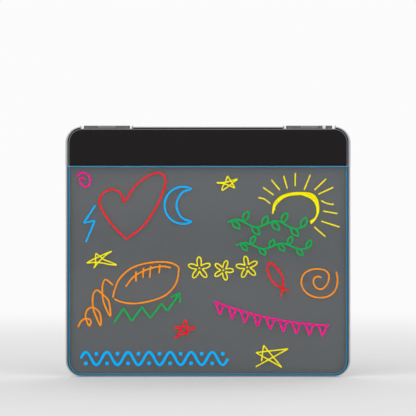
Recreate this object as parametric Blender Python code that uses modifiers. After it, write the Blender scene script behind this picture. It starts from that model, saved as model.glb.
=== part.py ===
"""Edge-lit writing board with two folding suction hangers.

The board is modelled upright: X to the right, Y towards the window it hangs on, Z up.
Board coordinates have z = 0 at the lower edge and y = 0 in the middle of the panel edging.
One empty carries them, so that the origin lies between the two cups, on the window glass.
"""

import math

import bmesh
import bpy
from mathutils import Matrix, Vector

MM = 0.001

# Overall form
BOARD_WIDTH = 285 * MM
WRITING_HEIGHT = 211 * MM
CORNER_RADIUS = 16 * MM
HEADER_DEPTH = 16 * MM
CLEARANCE = 0.3 * MM

# Header covers and their trim band
COVER_WALL = 1.8 * MM
COVER_CHAMFER = 1.0 * MM
BAND_THICKNESS = 1.25 * MM
BAND_DEPTH = 14 * MM
BAND_RIB_WIDTH = 1.6 * MM
BAND_RIB_REACH = 1.5 * MM
GROOVE_WIDTH = 0.85 * MM
RIB_SETBACK = 3 * MM

# Writing panel, backing sheet and the channel round them
PANEL_THICKNESS = 4.0 * MM
SHEET_THICKNESS = 1.0 * MM
EDGING_WALL = 1.0 * MM
EDGING_FRONT_LIP = 1.8 * MM
EDGING_REAR_LIP = 4.0 * MM
EDGE_SHADOW = 0.5 * MM

# Rows inside the header, counted upwards
SEAL_HEIGHT = 3.0 * MM
PEG_DIAMETER = 4.0 * MM
PEG_SPACING = 66 * MM
PEG_OVERRUN = 1.0 * MM
CHANNEL_GRIP = 5.0 * MM
CHANNEL_WALL = 1.0 * MM
EAR_HEIGHT = 5.0 * MM
EAR_WIDTH = 9.0 * MM
HEAD_ROOM = 2.3 * MM

# Light strip
LED_HEIGHT = 1.4 * MM
LED_WIDTH = 3.0 * MM
LED_DEPTH = 2.8 * MM
LED_PITCH = 11 * MM
STRIP_THICKNESS = 0.6 * MM
WIRE_ROOM = 4.5 * MM

# Screws: head and shank
COVER_BOSS_DIAMETER = 8.0 * MM
COVER_SCREW_HEAD = 5.4 * MM
COVER_SCREW_SHANK = 2.6 * MM
COVER_SCREW_LENGTH = 10.5 * MM
SMALL_BOSS_DIAMETER = 5.6 * MM
SMALL_SCREW_HEAD = 4.4 * MM
SMALL_SCREW_SHANK = 2.2 * MM
CHANNEL_SCREW_LENGTH = 4.2 * MM
BRACKET_SCREW_LENGTH = 7.5 * MM
SCREW_HEAD_HEIGHT = 1.5 * MM
COUNTERBORE_DEPTH = 2.2 * MM
RECESS_DEPTH = 0.8 * MM
RECESS_WIDTH = 0.7 * MM
RECESS_SHARE = 0.3
TIP_SHARE = 0.3
HEAD_SHARES = ((0, 1), (0.55, 1), (0.88, 0.72), (1, 0.3), (1, 0))
MIDDLE_SCREW_SPACING = 48 * MM
NOTCH_SCREW_INSET = 7.1 * MM
CORNER_SCREW_OUT = 4.0 * MM

# Driver board
DRIVER_WIDTH = 32 * MM
DRIVER_HEIGHT = 9.0 * MM
DRIVER_THICKNESS = 1.2 * MM
DRIVER_STANDOFF = 1.5 * MM
STANDOFF_DIAMETER = 4.0 * MM
STANDOFF_PIN = 2.0 * MM
STANDOFF_INSET = 3.2 * MM
CAPACITOR_DIAMETER = 5.0 * MM
CAPACITOR_LENGTH = 6.0 * MM
CAPACITOR_OFFSET = 5.5 * MM
CHIP_WIDTH = 5.0 * MM
CHIP_HEIGHT = 4.0 * MM
CHIP_THICKNESS = 1.5 * MM
CHIP_OFFSET = 3.5 * MM
WIRE_DIAMETER = 1.2 * MM
WIRE_PITCH = 1.7 * MM

# Hinges
NOTCH_DEPTH = 2.7 * MM
NOTCH_SLOPE = 1.4 * MM
NOTCH_END_GAP = 0.4 * MM
NOTCH_LIP = 1.2 * MM
KNUCKLE_DIAMETER = 5.4 * MM
CENTRE_KNUCKLE = 16 * MM
SIDE_KNUCKLE = 14.9 * MM
HINGE_PIN = 2.4 * MM
PIN_HEAD = 3.4 * MM
PIN_HEAD_HEIGHT = 0.6 * MM
FOOT_THICKNESS = 1.2 * MM
FOOT_SETBACK = 1.5 * MM
BRACKET_SCREW_INSET = 3.2 * MM

# Hangers and suction cups
ARM_THICKNESS = 3.0 * MM
ARM_REACH = 31 * MM
ARM_BEND = 2.0 * MM
PADDLE_RADIUS = 11 * MM
PADDLE_BLEND = 1.5
ARM_RIB_WIDTH = 3.0 * MM
ARM_RIB_HEIGHT = 0.9 * MM
KNOB_DIAMETER = 11 * MM
KNOB_THICKNESS = 3.4 * MM
NECK_DIAMETER = 7.0 * MM
SHOULDER_DIAMETER = 14 * MM
SHOULDER_HEIGHT = 2.7 * MM
CUP_DIAMETER = 54 * MM
CUP_HEIGHT = 11.7 * MM
CUP_LIP = 2.4 * MM
CUP_EDGE = 0.9 * MM
CUP_DEPTH = 6.0 * MM
CUP_FLARE = 1.25
CUP_DISHING = 0.9
TAB_LENGTH = 7.0 * MM
TAB_WIDTH = 9.0 * MM
TAB_THICKNESS = 1.4 * MM

# Lead gland in the right notch
GLAND_WIDTH = 3.0 * MM
GLAND_DEPTH = 4.6 * MM
GLAND_HEIGHT = 4.2 * MM
GLAND_WALL = 0.7 * MM
GLAND_FLANGE = 0.7 * MM
GLAND_FLANGE_HEIGHT = 1.2 * MM
GLAND_FROM_HINGE = 14.6 * MM
GLAND_FROM_FRONT = 3.1 * MM

# Fineness of round forms
ARC_STEPS = 8
ROUND_SIDES = 12
SCREW_SIDES = 12
CUP_SIDES = 36
CUP_STEPS = 5

# Depths, front to back
HALF_WIDTH = BOARD_WIDTH / 2
COVER_FRONT = -HEADER_DEPTH / 2
COVER_REAR = HEADER_DEPTH / 2
INNER_FRONT = COVER_FRONT + COVER_WALL
INNER_REAR = COVER_REAR - COVER_WALL
PARTING = BAND_RIB_WIDTH / 2 + CLEARANCE
PANEL_STEP = EDGING_WALL + CLEARANCE
PANEL_BASE = PANEL_THICKNESS - PANEL_STEP
EDGING_DEPTH = 2 * PANEL_STEP + PANEL_BASE + SHEET_THICKNESS + CLEARANCE
EDGING_FRONT = -EDGING_DEPTH / 2
EDGING_BACK = EDGING_DEPTH / 2
BASE_FRONT = EDGING_FRONT + PANEL_STEP
PANEL_BACK = BASE_FRONT + PANEL_BASE
SHEET_FRONT = PANEL_BACK + CLEARANCE
SHEET_BACK = SHEET_FRONT + SHEET_THICKNESS
SLOT_FRONT = BASE_FRONT - CLEARANCE
SLOT_BACK = SHEET_BACK + CLEARANCE
STRIP_MIDDLE = (SLOT_FRONT + SLOT_BACK) / 2

# Heights, bottom to top
HEADER_BOTTOM = WRITING_HEIGHT
SHOULDER_TOP = HEADER_BOTTOM - CLEARANCE
HEADER_FLOOR = HEADER_BOTTOM + COVER_WALL
SEAL_BOTTOM = HEADER_FLOOR + CLEARANCE
SEAL_TOP = SEAL_BOTTOM + SEAL_HEIGHT
PEG_Z = SEAL_TOP + CLEARANCE + PEG_DIAMETER / 2
CHANNEL_BOTTOM = PEG_Z + PEG_DIAMETER / 2 + 2 * CLEARANCE
TONGUE_TOP = CHANNEL_BOTTOM + CHANNEL_GRIP
LED_BOTTOM = TONGUE_TOP + CLEARANCE
STRIP_BOTTOM = LED_BOTTOM + LED_HEIGHT
STRIP_TOP = STRIP_BOTTOM + STRIP_THICKNESS
CHANNEL_ROOF = STRIP_TOP + CLEARANCE
CHANNEL_TOP = CHANNEL_ROOF + CHANNEL_WALL
EAR_TOP = CHANNEL_TOP + EAR_HEIGHT
CHANNEL_SCREW_Z = CHANNEL_TOP + EAR_HEIGHT / 2
COVER_SCREW_Z = EAR_TOP + 2 * CLEARANCE + COVER_BOSS_DIAMETER / 2
NOTCH_FLOOR = COVER_SCREW_Z + COVER_BOSS_DIAMETER / 2 + HEAD_ROOM + COVER_WALL
NOTCH_SEAT = NOTCH_FLOOR - CLEARANCE - FOOT_THICKNESS
NOTCH_CEILING = NOTCH_SEAT - COVER_WALL
BOARD_TOP = NOTCH_FLOOR + NOTCH_DEPTH

# Widths, middle to side
COVER_INSET = BAND_THICKNESS + GROOVE_WIDTH
COVER_HALF = HALF_WIDTH - COVER_INSET
TONGUE_HALF = COVER_HALF - COVER_WALL - CLEARANCE
CHANNEL_HALF = TONGUE_HALF - WIRE_ROOM
BRACKET_HALF = CENTRE_KNUCKLE / 2 + CLEARANCE + SIDE_KNUCKLE
NOTCH_HALF = BRACKET_HALF + NOTCH_END_GAP
NOTCH_X = HALF_WIDTH - CORNER_RADIUS - NOTCH_SLOPE - NOTCH_HALF
BAND_DROP = BAND_THICKNESS * NOTCH_SLOPE / math.hypot(NOTCH_SLOPE, NOTCH_DEPTH)
BAND_END = BOARD_TOP - COVER_INSET + CLEARANCE + BAND_DROP
BAND_END_HALF = NOTCH_HALF + NOTCH_SLOPE * (BAND_END - NOTCH_FLOOR) / NOTCH_DEPTH
MIDDLE_SCREW_X = MIDDLE_SCREW_SPACING / 2
NOTCH_SCREW_X = NOTCH_X - NOTCH_HALF - NOTCH_SCREW_INSET
CORNER_SCREW_X = HALF_WIDTH - CORNER_RADIUS + CORNER_SCREW_OUT
COVER_SCREW_RIGHT = (CORNER_SCREW_X, NOTCH_SCREW_X, MIDDLE_SCREW_X)
COVER_SCREW_PLACES = [side * x for side in (-1, 1) for x in COVER_SCREW_RIGHT]
CHANNEL_SCREW_PLACES = [side * x for side in (-1, 1) for x in (NOTCH_X, MIDDLE_SCREW_X)]
PEG_PLACES = [(index - 1.5) * PEG_SPACING for index in range(4)]

# Hinge, arm and cup
HINGE_Y = COVER_REAR - KNUCKLE_DIAMETER / 2
HINGE_Z = NOTCH_SEAT + CLEARANCE + KNUCKLE_DIAMETER / 2
FOOT_FRONT = COVER_FRONT + FOOT_SETBACK
FOOT_REAR = HINGE_Y - KNUCKLE_DIAMETER / 2 - CLEARANCE
FOOT_BOTTOM = NOTCH_SEAT + CLEARANCE
FOOT_TOP = FOOT_BOTTOM + FOOT_THICKNESS
BRACKET_SCREW_Y = (FOOT_FRONT + FOOT_REAR) / 2
BRACKET_SCREW_X = BRACKET_HALF - BRACKET_SCREW_INSET
KNOB_FRONT = COVER_REAR + CLEARANCE
ARM_FRONT = KNOB_FRONT + KNOB_THICKNESS + CLEARANCE
ARM_BACK = ARM_FRONT + ARM_THICKNESS
CUP_BACK = ARM_BACK + CLEARANCE
GLASS_Y = CUP_BACK + CUP_HEIGHT
CUP_Z = HINGE_Z - ARM_REACH
GLAND_Y = COVER_FRONT + GLAND_FROM_FRONT + GLAND_DEPTH / 2
GLAND_X = NOTCH_X + GLAND_FROM_HINGE

# Driver board, over the light channel
DRIVER_BACK = INNER_REAR - DRIVER_STANDOFF - CLEARANCE
DRIVER_FRONT = DRIVER_BACK - DRIVER_THICKNESS
DRIVER_Z = COVER_SCREW_Z - HEAD_ROOM / 2

OVERLAP = 0.5 * MM
REACH = 5.0 * MM

FINISHES = {
    "black_shell": ((0.017, 0.014, 0.014), 0.42, 0.0),
    "silver_trim": ((0.55, 0.56, 0.58), 0.28, 1.0),
    "clear_acrylic": ((0.82, 0.84, 0.86), 0.05, 0.0),
    "grey_sheet": ((0.125, 0.125, 0.13), 0.6, 0.0),
    "aluminium": ((0.62, 0.63, 0.65), 0.35, 1.0),
    "light_strip": ((0.85, 0.86, 0.88), 0.5, 0.0),
    "green_board": ((0.02, 0.16, 0.06), 0.45, 0.0),
    "capacitor_case": ((0.05, 0.06, 0.12), 0.4, 0.0),
    "chip_case": ((0.02, 0.02, 0.02), 0.55, 0.0),
    "red_insulation": ((0.55, 0.02, 0.02), 0.45, 0.0),
    "black_insulation": ((0.02, 0.02, 0.02), 0.45, 0.0),
    "white_gland": ((0.86, 0.86, 0.86), 0.5, 0.0),
    "foam": ((0.03, 0.03, 0.03), 0.95, 0.0),
    "steel": ((0.5, 0.5, 0.5), 0.3, 1.0),
    "dark_grey_moulding": ((0.13, 0.135, 0.14), 0.4, 0.0),
    "light_grey_moulding": ((0.21, 0.22, 0.23), 0.4, 0.0),
    "clear_rubber": ((0.72, 0.76, 0.78), 0.2, 0.0),
}


def clear_scene():
    """Remove every object that the file holds."""
    for item in list(bpy.data.objects):
        bpy.data.objects.remove(item, do_unlink=True)


def new_collection(name):
    """Make a collection under the scene's own."""
    collection = bpy.data.collections.new(name)
    bpy.context.scene.collection.children.link(collection)
    return collection


def new_material(name):
    """A Principled material with the colour, roughness and metallic value of one finish."""
    colour, roughness, metallic = FINISHES[name]
    material = bpy.data.materials.new(name)
    material.use_nodes = True
    shader = material.node_tree.nodes["Principled BSDF"]
    shader.inputs["Base Color"].default_value = (*colour, 1.0)
    shader.inputs["Roughness"].default_value = roughness
    shader.inputs["Metallic"].default_value = metallic
    material.diffuse_color = (*colour, 1.0)
    return material


def as_part(item, finish, parent, location=(0, 0, 0)):
    """Name the finish of a finished piece and hang it on what carries it."""
    material = bpy.data.materials.get(finish) or new_material(finish)
    item.data.materials.clear()
    item.data.materials.append(material)
    item.location = location
    item.parent = parent
    PARTS.objects.link(item)
    return item


def as_cutter(item, parent):
    """A guide solid for a Boolean: shown as wires, never rendered."""
    item.display_type = "WIRE"
    item.hide_render = True
    item.parent = parent
    CUTTERS.objects.link(item)
    return item


def combine(item, tool, operation):
    """Cut a solid out of a piece, or join one to it.

    The exact solver leaves slits where these thin walls share a plane, so the manifold one is used."""
    boolean = item.modifiers.new(tool.name, "BOOLEAN")
    boolean.object = tool
    boolean.operation = operation
    boolean.solver = "MANIFOLD"
    return item


def frozen(item):
    """The mesh of an object as its modifiers or curve settings leave it, with its caps welded."""
    holder = bpy.data.collections.new("holder")
    bpy.context.scene.collection.children.link(holder)
    holder.objects.link(item)
    bpy.context.view_layer.update()
    graph = bpy.context.evaluated_depsgraph_get()
    mesh = bpy.data.meshes.new_from_object(item.evaluated_get(graph))
    bpy.data.objects.remove(item)
    bpy.data.collections.remove(holder)
    shape = bmesh.new()
    shape.from_mesh(mesh)
    bmesh.ops.remove_doubles(shape, verts=shape.verts, dist=1e-6)
    bmesh.ops.recalc_face_normals(shape, faces=shape.faces)
    shape.to_mesh(mesh)
    shape.free()
    return mesh


def arc(centre, radius, start, end, steps=ARC_STEPS):
    """Points on an arc, from a start to an end angle in degrees."""
    angles = [math.radians(start + (end - start) * step / steps) for step in range(steps + 1)]
    return [(centre[0] + radius * math.cos(a), centre[1] + radius * math.sin(a)) for a in angles]


def shifted_path(points, distance):
    """An open path moved sideways, to the right of its direction, with mitred corners."""
    moved = []
    for index, point in enumerate(points):
        before = Vector(point) - Vector(points[max(index - 1, 0)])
        after = Vector(points[min(index + 1, len(points) - 1)]) - Vector(point)
        first = (before if index else after).normalized()
        last = (after if index < len(points) - 1 else before).normalized()
        normal = Vector((first.y + last.y, -first.x - last.x)).normalized()
        stretch = normal.dot(Vector((first.y, -first.x)))
        moved.append(tuple(Vector(point) + normal * distance / stretch))
    return moved


def shrunk(outline, distance):
    """A closed outline, counter-clockwise, moved inwards with mitred corners."""
    closed = [outline[-1], *outline, outline[0]]
    return shifted_path(closed[::-1], distance)[::-1][1:-1]


def flat_curve(name, outline, half_thickness, chamfer):
    """A filled 2D curve, thickened both ways, with a chamfer inside its outline."""
    curve = bpy.data.curves.new(name, "CURVE")
    curve.dimensions = "2D"
    curve.fill_mode = "BOTH"
    curve.extrude = half_thickness - chamfer
    curve.bevel_depth = chamfer
    curve.bevel_resolution = 0
    curve.offset = -chamfer
    spline = curve.splines.new("POLY")
    spline.points.add(len(outline) - 1)
    for point, (x, y) in zip(spline.points, outline):
        point.co = (x, y, 0, 1)
    spline.use_cyclic_u = True
    return bpy.data.objects.new(name, curve)


def plate(name, outline, front, back, chamfer=0.0):
    """An outline in X and Z, thick from front to back in Y."""
    mesh = frozen(flat_curve(name, outline, (back - front) / 2, chamfer))
    mesh.transform(Matrix.Translation((0, (front + back) / 2, 0)) @ Matrix.Rotation(math.pi / 2, 4, "X"))
    return bpy.data.objects.new(name, mesh)


def bar(name, outline, left, right):
    """An outline in Y and Z, running from left to right in X."""
    turn = Matrix(((0, 0, 1, (left + right) / 2), (1, 0, 0, 0), (0, 1, 0, 0), (0, 0, 0, 1)))
    mesh = frozen(flat_curve(name, outline, (right - left) / 2, 0.0))
    mesh.transform(turn)
    return bpy.data.objects.new(name, mesh)


def add_block(shape, low, high):
    """A box between two corners."""
    size = Vector(high) - Vector(low)
    middle = (Vector(high) + Vector(low)) / 2
    bmesh.ops.create_cube(shape, size=1, matrix=Matrix.Translation(middle) @ Matrix.Diagonal((*size, 1)))


def add_rod(shape, radius, start, end, sides=ROUND_SIDES):
    """A round bar between two points."""
    run = Vector(end) - Vector(start)
    turn = run.to_track_quat("Z", "Y").to_matrix().to_4x4()
    place = Matrix.Translation((Vector(start) + Vector(end)) / 2) @ turn
    bmesh.ops.create_cone(
        shape, cap_ends=True, segments=sides, radius1=radius, radius2=radius, depth=run.length, matrix=place
    )


def solid(name, blocks=(), rods=()):
    """An object of separate boxes and round bars."""
    shape = bmesh.new()
    for low, high in blocks:
        add_block(shape, low, high)
    for radius, start, end in rods:
        add_rod(shape, radius, start, end)
    mesh = bpy.data.meshes.new(name)
    shape.to_mesh(mesh)
    shape.free()
    return bpy.data.objects.new(name, mesh)


def turned(name, profile, sides=ROUND_SIDES):
    """A profile of radius and height, down its outer side, turned about Z."""
    mesh = bpy.data.meshes.new(name)
    points = [(radius, 0, height) for radius, height in profile]
    mesh.from_pydata(points, [(i, i + 1) for i in range(len(points) - 1)], [])
    item = bpy.data.objects.new(name, mesh)
    screw = item.modifiers.new("turn", "SCREW")
    screw.axis = "Z"
    screw.steps = sides
    screw.render_steps = sides
    screw.use_merge_vertices = True
    screw.merge_threshold = 0.00005
    return item


def shade_round(mesh):
    """Smooth shading with sharp edges kept."""
    mesh.shade_smooth()
    mesh.set_sharp_from_angle(angle=math.radians(35))
    return mesh


def board_outline(inset, top):
    """The writing part of the board: square at the top, rounded at its two lower corners."""
    half = HALF_WIDTH - inset
    radius = CORNER_RADIUS - inset
    left = arc((-half + radius, inset + radius), radius, 180, 270)
    right = arc((half - radius, inset + radius), radius, 270, 360)
    return [*left, *right, (half, top), (-half, top)]


def panel_outline():
    """The panel with its narrower tongue, which stands up in the header."""
    lower = board_outline(PANEL_STEP, SHOULDER_TOP)
    tongue = [(TONGUE_HALF, SHOULDER_TOP), (TONGUE_HALF, TONGUE_TOP)]
    return [*lower[:-1], *tongue, *[(-x, z) for x, z in tongue[::-1]], lower[-1]]


def cover_outline(notched):
    """The header cover: two rounded upper corners, and a notch near each where the hinges sit."""
    top = BOARD_TOP - COVER_INSET
    radius = CORNER_RADIUS - COVER_INSET
    right = arc((COVER_HALF - radius, top - radius), radius, 0, 90)
    if notched:
        for edge in (NOTCH_X + NOTCH_HALF, NOTCH_X - NOTCH_HALF):
            side = [(edge, top), (edge, NOTCH_SEAT)]
            right += side if edge > NOTCH_X else side[::-1]
    left = [(-x, z) for x, z in right[::-1]]
    return [(-COVER_HALF, HEADER_BOTTOM), (COVER_HALF, HEADER_BOTTOM), *right, *left]


def band_path(side):
    """The outer line of a corner band, clockwise: up the left side, or down the right one."""
    corner = arc((-HALF_WIDTH + CORNER_RADIUS, BOARD_TOP - CORNER_RADIUS), CORNER_RADIUS, 180, 90)
    path = [(-HALF_WIDTH, HEADER_BOTTOM), *corner, (-NOTCH_X - BAND_END_HALF, BAND_END)]
    return path if side < 0 else [(-x, z) for x, z in path[::-1]]


def band(name, path, rib_path, parent):
    """A trim band along a path, with a rib that the two covers trap between them."""
    strip = plate(name, strip_outline(path, 0, BAND_THICKNESS), -BAND_DEPTH / 2, BAND_DEPTH / 2)
    reach = BAND_THICKNESS + GROOVE_WIDTH + BAND_RIB_REACH
    rib = strip_outline(rib_path, BAND_THICKNESS - OVERLAP, reach)
    tool = as_cutter(plate(name + "_rib", rib, -BAND_RIB_WIDTH / 2, BAND_RIB_WIDTH / 2), parent)
    return as_part(combine(strip, tool, "UNION"), "silver_trim", parent)


def strip_outline(path, near, far):
    """The closed outline of a strip beside a path, between two distances from it."""
    return [*shifted_path(path, near), *shifted_path(path, far)[::-1]]


def make_bands(board):
    """Silver bands: one round each upper corner and one between the notches."""
    for side, name in ((-1, "band_left"), (1, "band_right")):
        path = band_path(side)
        band(name, path, path[:-2] if side < 0 else path[2:], board)
    top_end = NOTCH_X - NOTCH_HALF - NOTCH_SLOPE
    half = [(-NOTCH_X + BAND_END_HALF, BAND_END), (-top_end, BOARD_TOP)]
    rib = [(-top_end + RIB_SETBACK, BOARD_TOP), (top_end - RIB_SETBACK, BOARD_TOP)]
    band("band_centre", [*half, *[(-x, z) for x, z in half[::-1]]], rib, board)


def cover_shell(name, back_to_front, board):
    """An open tray with a chamfered face, cut for the panel to pass through its floor.

    back_to_front is 1 for the front cover and -1 for the rear one, which is its mirror image."""
    face = back_to_front * COVER_FRONT
    rim = -back_to_front * PARTING
    slot = SLOT_FRONT if back_to_front > 0 else SLOT_BACK
    inner = face + back_to_front * COVER_WALL
    outline = cover_outline(notched=back_to_front < 0)
    shell = plate(name, outline, *sorted((face, rim + back_to_front * REACH)), COVER_CHAMFER)
    wide = HALF_WIDTH + REACH
    beyond = (wide, rim + back_to_front * 2 * REACH, BOARD_TOP + REACH)
    trim = solid(name + "_trim", [box_between((-wide, rim, 0), beyond)])
    depths = sorted((inner, rim + back_to_front * REACH))
    cavity = plate(name + "_cavity", shrunk(cover_outline(notched=True), COVER_WALL), *depths)
    gate_half = TONGUE_HALF + CLEARANCE
    gate_low = (-gate_half, slot, HEADER_BOTTOM - REACH)
    gate_high = (gate_half, rim + back_to_front * REACH, HEADER_FLOOR + OVERLAP)
    gate = solid(name + "_gate", [box_between(gate_low, gate_high)])
    for tool in (trim, cavity, gate):
        combine(shell, as_cutter(tool, board), "DIFFERENCE")
    return shell


def box_between(first, second):
    """The low and high corners of a box given by any two opposite corners."""
    low = tuple(min(pair) for pair in zip(first, second))
    high = tuple(max(pair) for pair in zip(first, second))
    return low, high


def make_front_cover(board):
    """Front shell: bosses, seats for the hinges behind its lip, and floors that close the parting."""
    shell = cover_shell("front_cover", 1, board)
    root = INNER_FRONT - OVERLAP
    boss = COVER_BOSS_DIAMETER / 2 - OVERLAP
    pilot = COVER_SCREW_SHANK / 2 + CLEARANCE
    bosses = [(boss, (x, root, COVER_SCREW_Z), (x, -PARTING, COVER_SCREW_Z)) for x in COVER_SCREW_PLACES]
    holes = [(pilot, (x, INNER_FRONT, COVER_SCREW_Z), (x, 0, COVER_SCREW_Z)) for x in COVER_SCREW_PLACES]
    tabs = []
    pockets = []
    for side in (-1, 1):
        low = (side * NOTCH_X - NOTCH_HALF, -PARTING - OVERLAP, NOTCH_CEILING)
        high = (side * NOTCH_X + NOTCH_HALF, PARTING - CLEARANCE, NOTCH_SEAT)
        tabs.append((low, high))
        low = (side * NOTCH_X - NOTCH_HALF, COVER_FRONT + NOTCH_LIP, NOTCH_SEAT)
        high = (side * NOTCH_X + NOTCH_HALF, PARTING, NOTCH_FLOOR + REACH)
        pockets.append((low, high))
        for end in (-1, 1):
            x = side * NOTCH_X + end * BRACKET_SCREW_X
            bottom = FOOT_TOP - BRACKET_SCREW_LENGTH - 2 * CLEARANCE
            rod_low = (x, BRACKET_SCREW_Y, bottom - COVER_WALL / 2)
            bosses.append((SMALL_BOSS_DIAMETER / 2, rod_low, (x, BRACKET_SCREW_Y, NOTCH_SEAT - OVERLAP)))
            bore_top = (x, BRACKET_SCREW_Y, NOTCH_FLOOR + REACH)
            holes.append((SMALL_SCREW_SHANK / 2 + CLEARANCE, (x, BRACKET_SCREW_Y, bottom), bore_top))
    half_x = GLAND_WIDTH / 2 + CLEARANCE
    half_y = GLAND_DEPTH / 2 + CLEARANCE
    gland_low = (GLAND_X - half_x, GLAND_Y - half_y, NOTCH_CEILING - REACH / 2)
    gland_high = (GLAND_X + half_x, GLAND_Y + half_y, NOTCH_FLOOR + REACH)
    seats = solid("front_cover_seats", pockets)
    floors = solid("front_cover_floors", tabs)
    posts = solid("front_cover_bosses", rods=bosses)
    bores = solid("front_cover_bores", [(gland_low, gland_high)], holes)
    combine(shell, as_cutter(seats, board), "DIFFERENCE")
    combine(shell, as_cutter(floors, board), "UNION")
    combine(shell, as_cutter(posts, board), "UNION")
    combine(shell, as_cutter(bores, board), "DIFFERENCE")
    return as_part(shell, "black_shell", board)


def make_rear_cover(board):
    """Rear shell: counterbored bosses, pegs that locate the panel, channel bosses and standoffs."""
    shell = cover_shell("rear_cover", -1, board)
    root = INNER_REAR + OVERLAP
    boss = COVER_BOSS_DIAMETER / 2
    shank = COVER_SCREW_SHANK / 2 + CLEARANCE
    z = COVER_SCREW_Z
    bosses = []
    holes = []
    for x in COVER_SCREW_PLACES:
        bosses.append((boss, (x, root, z), (x, PARTING, z)))
        holes.append((shank, (x, COVER_REAR + REACH, z), (x, 0, z)))
    for x in PEG_PLACES:
        bosses.append((PEG_DIAMETER / 2, (x, root, PEG_Z), (x, BASE_FRONT - PEG_OVERRUN, PEG_Z)))
    seat = SLOT_BACK + CHANNEL_WALL + CLEARANCE
    bore = SMALL_SCREW_SHANK / 2 + CLEARANCE
    bore_end = INNER_REAR + COVER_WALL / 2
    post = SMALL_BOSS_DIAMETER / 2 - OVERLAP
    z = CHANNEL_SCREW_Z
    for x in CHANNEL_SCREW_PLACES:
        bosses.append((post, (x, root, z), (x, seat, z)))
        holes.append((bore, (x, bore_end, z), (x, seat - REACH, z)))
    for x in standoff_places():
        step = DRIVER_BACK + CLEARANCE
        bosses.append((STANDOFF_DIAMETER / 2, (x, root, DRIVER_Z), (x, step, DRIVER_Z)))
    pins = [
        (STANDOFF_PIN / 2, (x, INNER_REAR, DRIVER_Z), (x, DRIVER_FRONT - OVERLAP, DRIVER_Z))
        for x in standoff_places()
    ]
    head = COVER_SCREW_HEAD / 2 + CLEARANCE
    wells = [
        (head, (x, COVER_REAR + REACH, COVER_SCREW_Z), (x, COVER_REAR - COUNTERBORE_DEPTH, COVER_SCREW_Z))
        for x in COVER_SCREW_PLACES
    ]
    for name, rods, operation in (
        ("rear_cover_bosses", bosses, "UNION"),
        ("rear_cover_pins", pins, "UNION"),
        ("rear_cover_bores", holes, "DIFFERENCE"),
        ("rear_cover_wells", wells, "DIFFERENCE"),
    ):
        combine(shell, as_cutter(solid(name, rods=rods), board), operation)
    return as_part(shell, "black_shell", board)


def standoff_places():
    """The two places where the driver board is staked to the rear cover."""
    return [side * (DRIVER_WIDTH / 2 - STANDOFF_INSET) for side in (-1, 1)]


def make_panel(board):
    """Clear writing panel: a stepped edge under the edging's lip and a bevel that shows the light."""
    base = plate("writing_panel", panel_outline(), BASE_FRONT, PANEL_BACK)
    face_inset = EDGING_FRONT_LIP + EDGE_SHADOW
    face = board_outline(face_inset, SHOULDER_TOP)
    slab = plate("writing_panel_face", face, EDGING_FRONT, EDGING_FRONT + 2 * PANEL_STEP, PANEL_STEP)
    combine(base, as_cutter(slab, board), "UNION")
    combine(base, as_cutter(peg_holes("writing_panel_holes"), board), "DIFFERENCE")
    return as_part(base, "clear_acrylic", board)


def peg_holes(name):
    """Round holes for the rear cover's pegs."""
    radius = PEG_DIAMETER / 2 + CLEARANCE
    return solid(name, rods=[(radius, (x, -REACH, PEG_Z), (x, REACH, PEG_Z)) for x in PEG_PLACES])


def make_sheet(board):
    """Grey backing sheet with the panel's outline."""
    sheet = plate("backing_sheet", panel_outline(), SHEET_FRONT, SHEET_BACK)
    combine(sheet, as_cutter(peg_holes("backing_sheet_holes"), board), "DIFFERENCE")
    return as_part(sheet, "grey_sheet", board)


def edging_path():
    """The outer line of the edging, clockwise: down the right side, along the bottom, up the left."""
    half = HALF_WIDTH
    radius = CORNER_RADIUS
    right = arc((half - radius, radius), radius, 0, -90)
    left = arc((-half + radius, radius), radius, -90, -180)
    return [(half, SHOULDER_TOP), *right, *left, (-half, SHOULDER_TOP)]


def make_edging(board):
    """U channel round three sides of the panel, with a narrow front lip and a wide rear one."""
    path = edging_path()
    edging = plate("panel_edging", strip_outline(path, 0, EDGING_WALL), EDGING_FRONT, EDGING_BACK)
    root = EDGING_WALL - OVERLAP
    lips = (
        ("panel_edging_front_lip", EDGING_FRONT_LIP, EDGING_FRONT, EDGING_FRONT + EDGING_WALL),
        ("panel_edging_rear_lip", EDGING_REAR_LIP, EDGING_BACK - EDGING_WALL, EDGING_BACK),
    )
    for name, width, front, back in lips:
        tool = plate(name, strip_outline(path, root, width), front, back)
        combine(edging, as_cutter(tool, board), "UNION")
    return as_part(edging, "silver_trim", board)


def make_seals(board):
    """Foam strips that keep the light from leaking past the panel into the header's floor."""
    spans = (
        ("light_seal_front", INNER_FRONT + CLEARANCE, SLOT_FRONT),
        ("light_seal_rear", SLOT_BACK, INNER_REAR - CLEARANCE),
    )
    for name, front, back in spans:
        seal = solid(name, [((-TONGUE_HALF, front, SEAL_BOTTOM), (TONGUE_HALF, back, SEAL_TOP))])
        as_part(seal, "foam", board)


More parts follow.
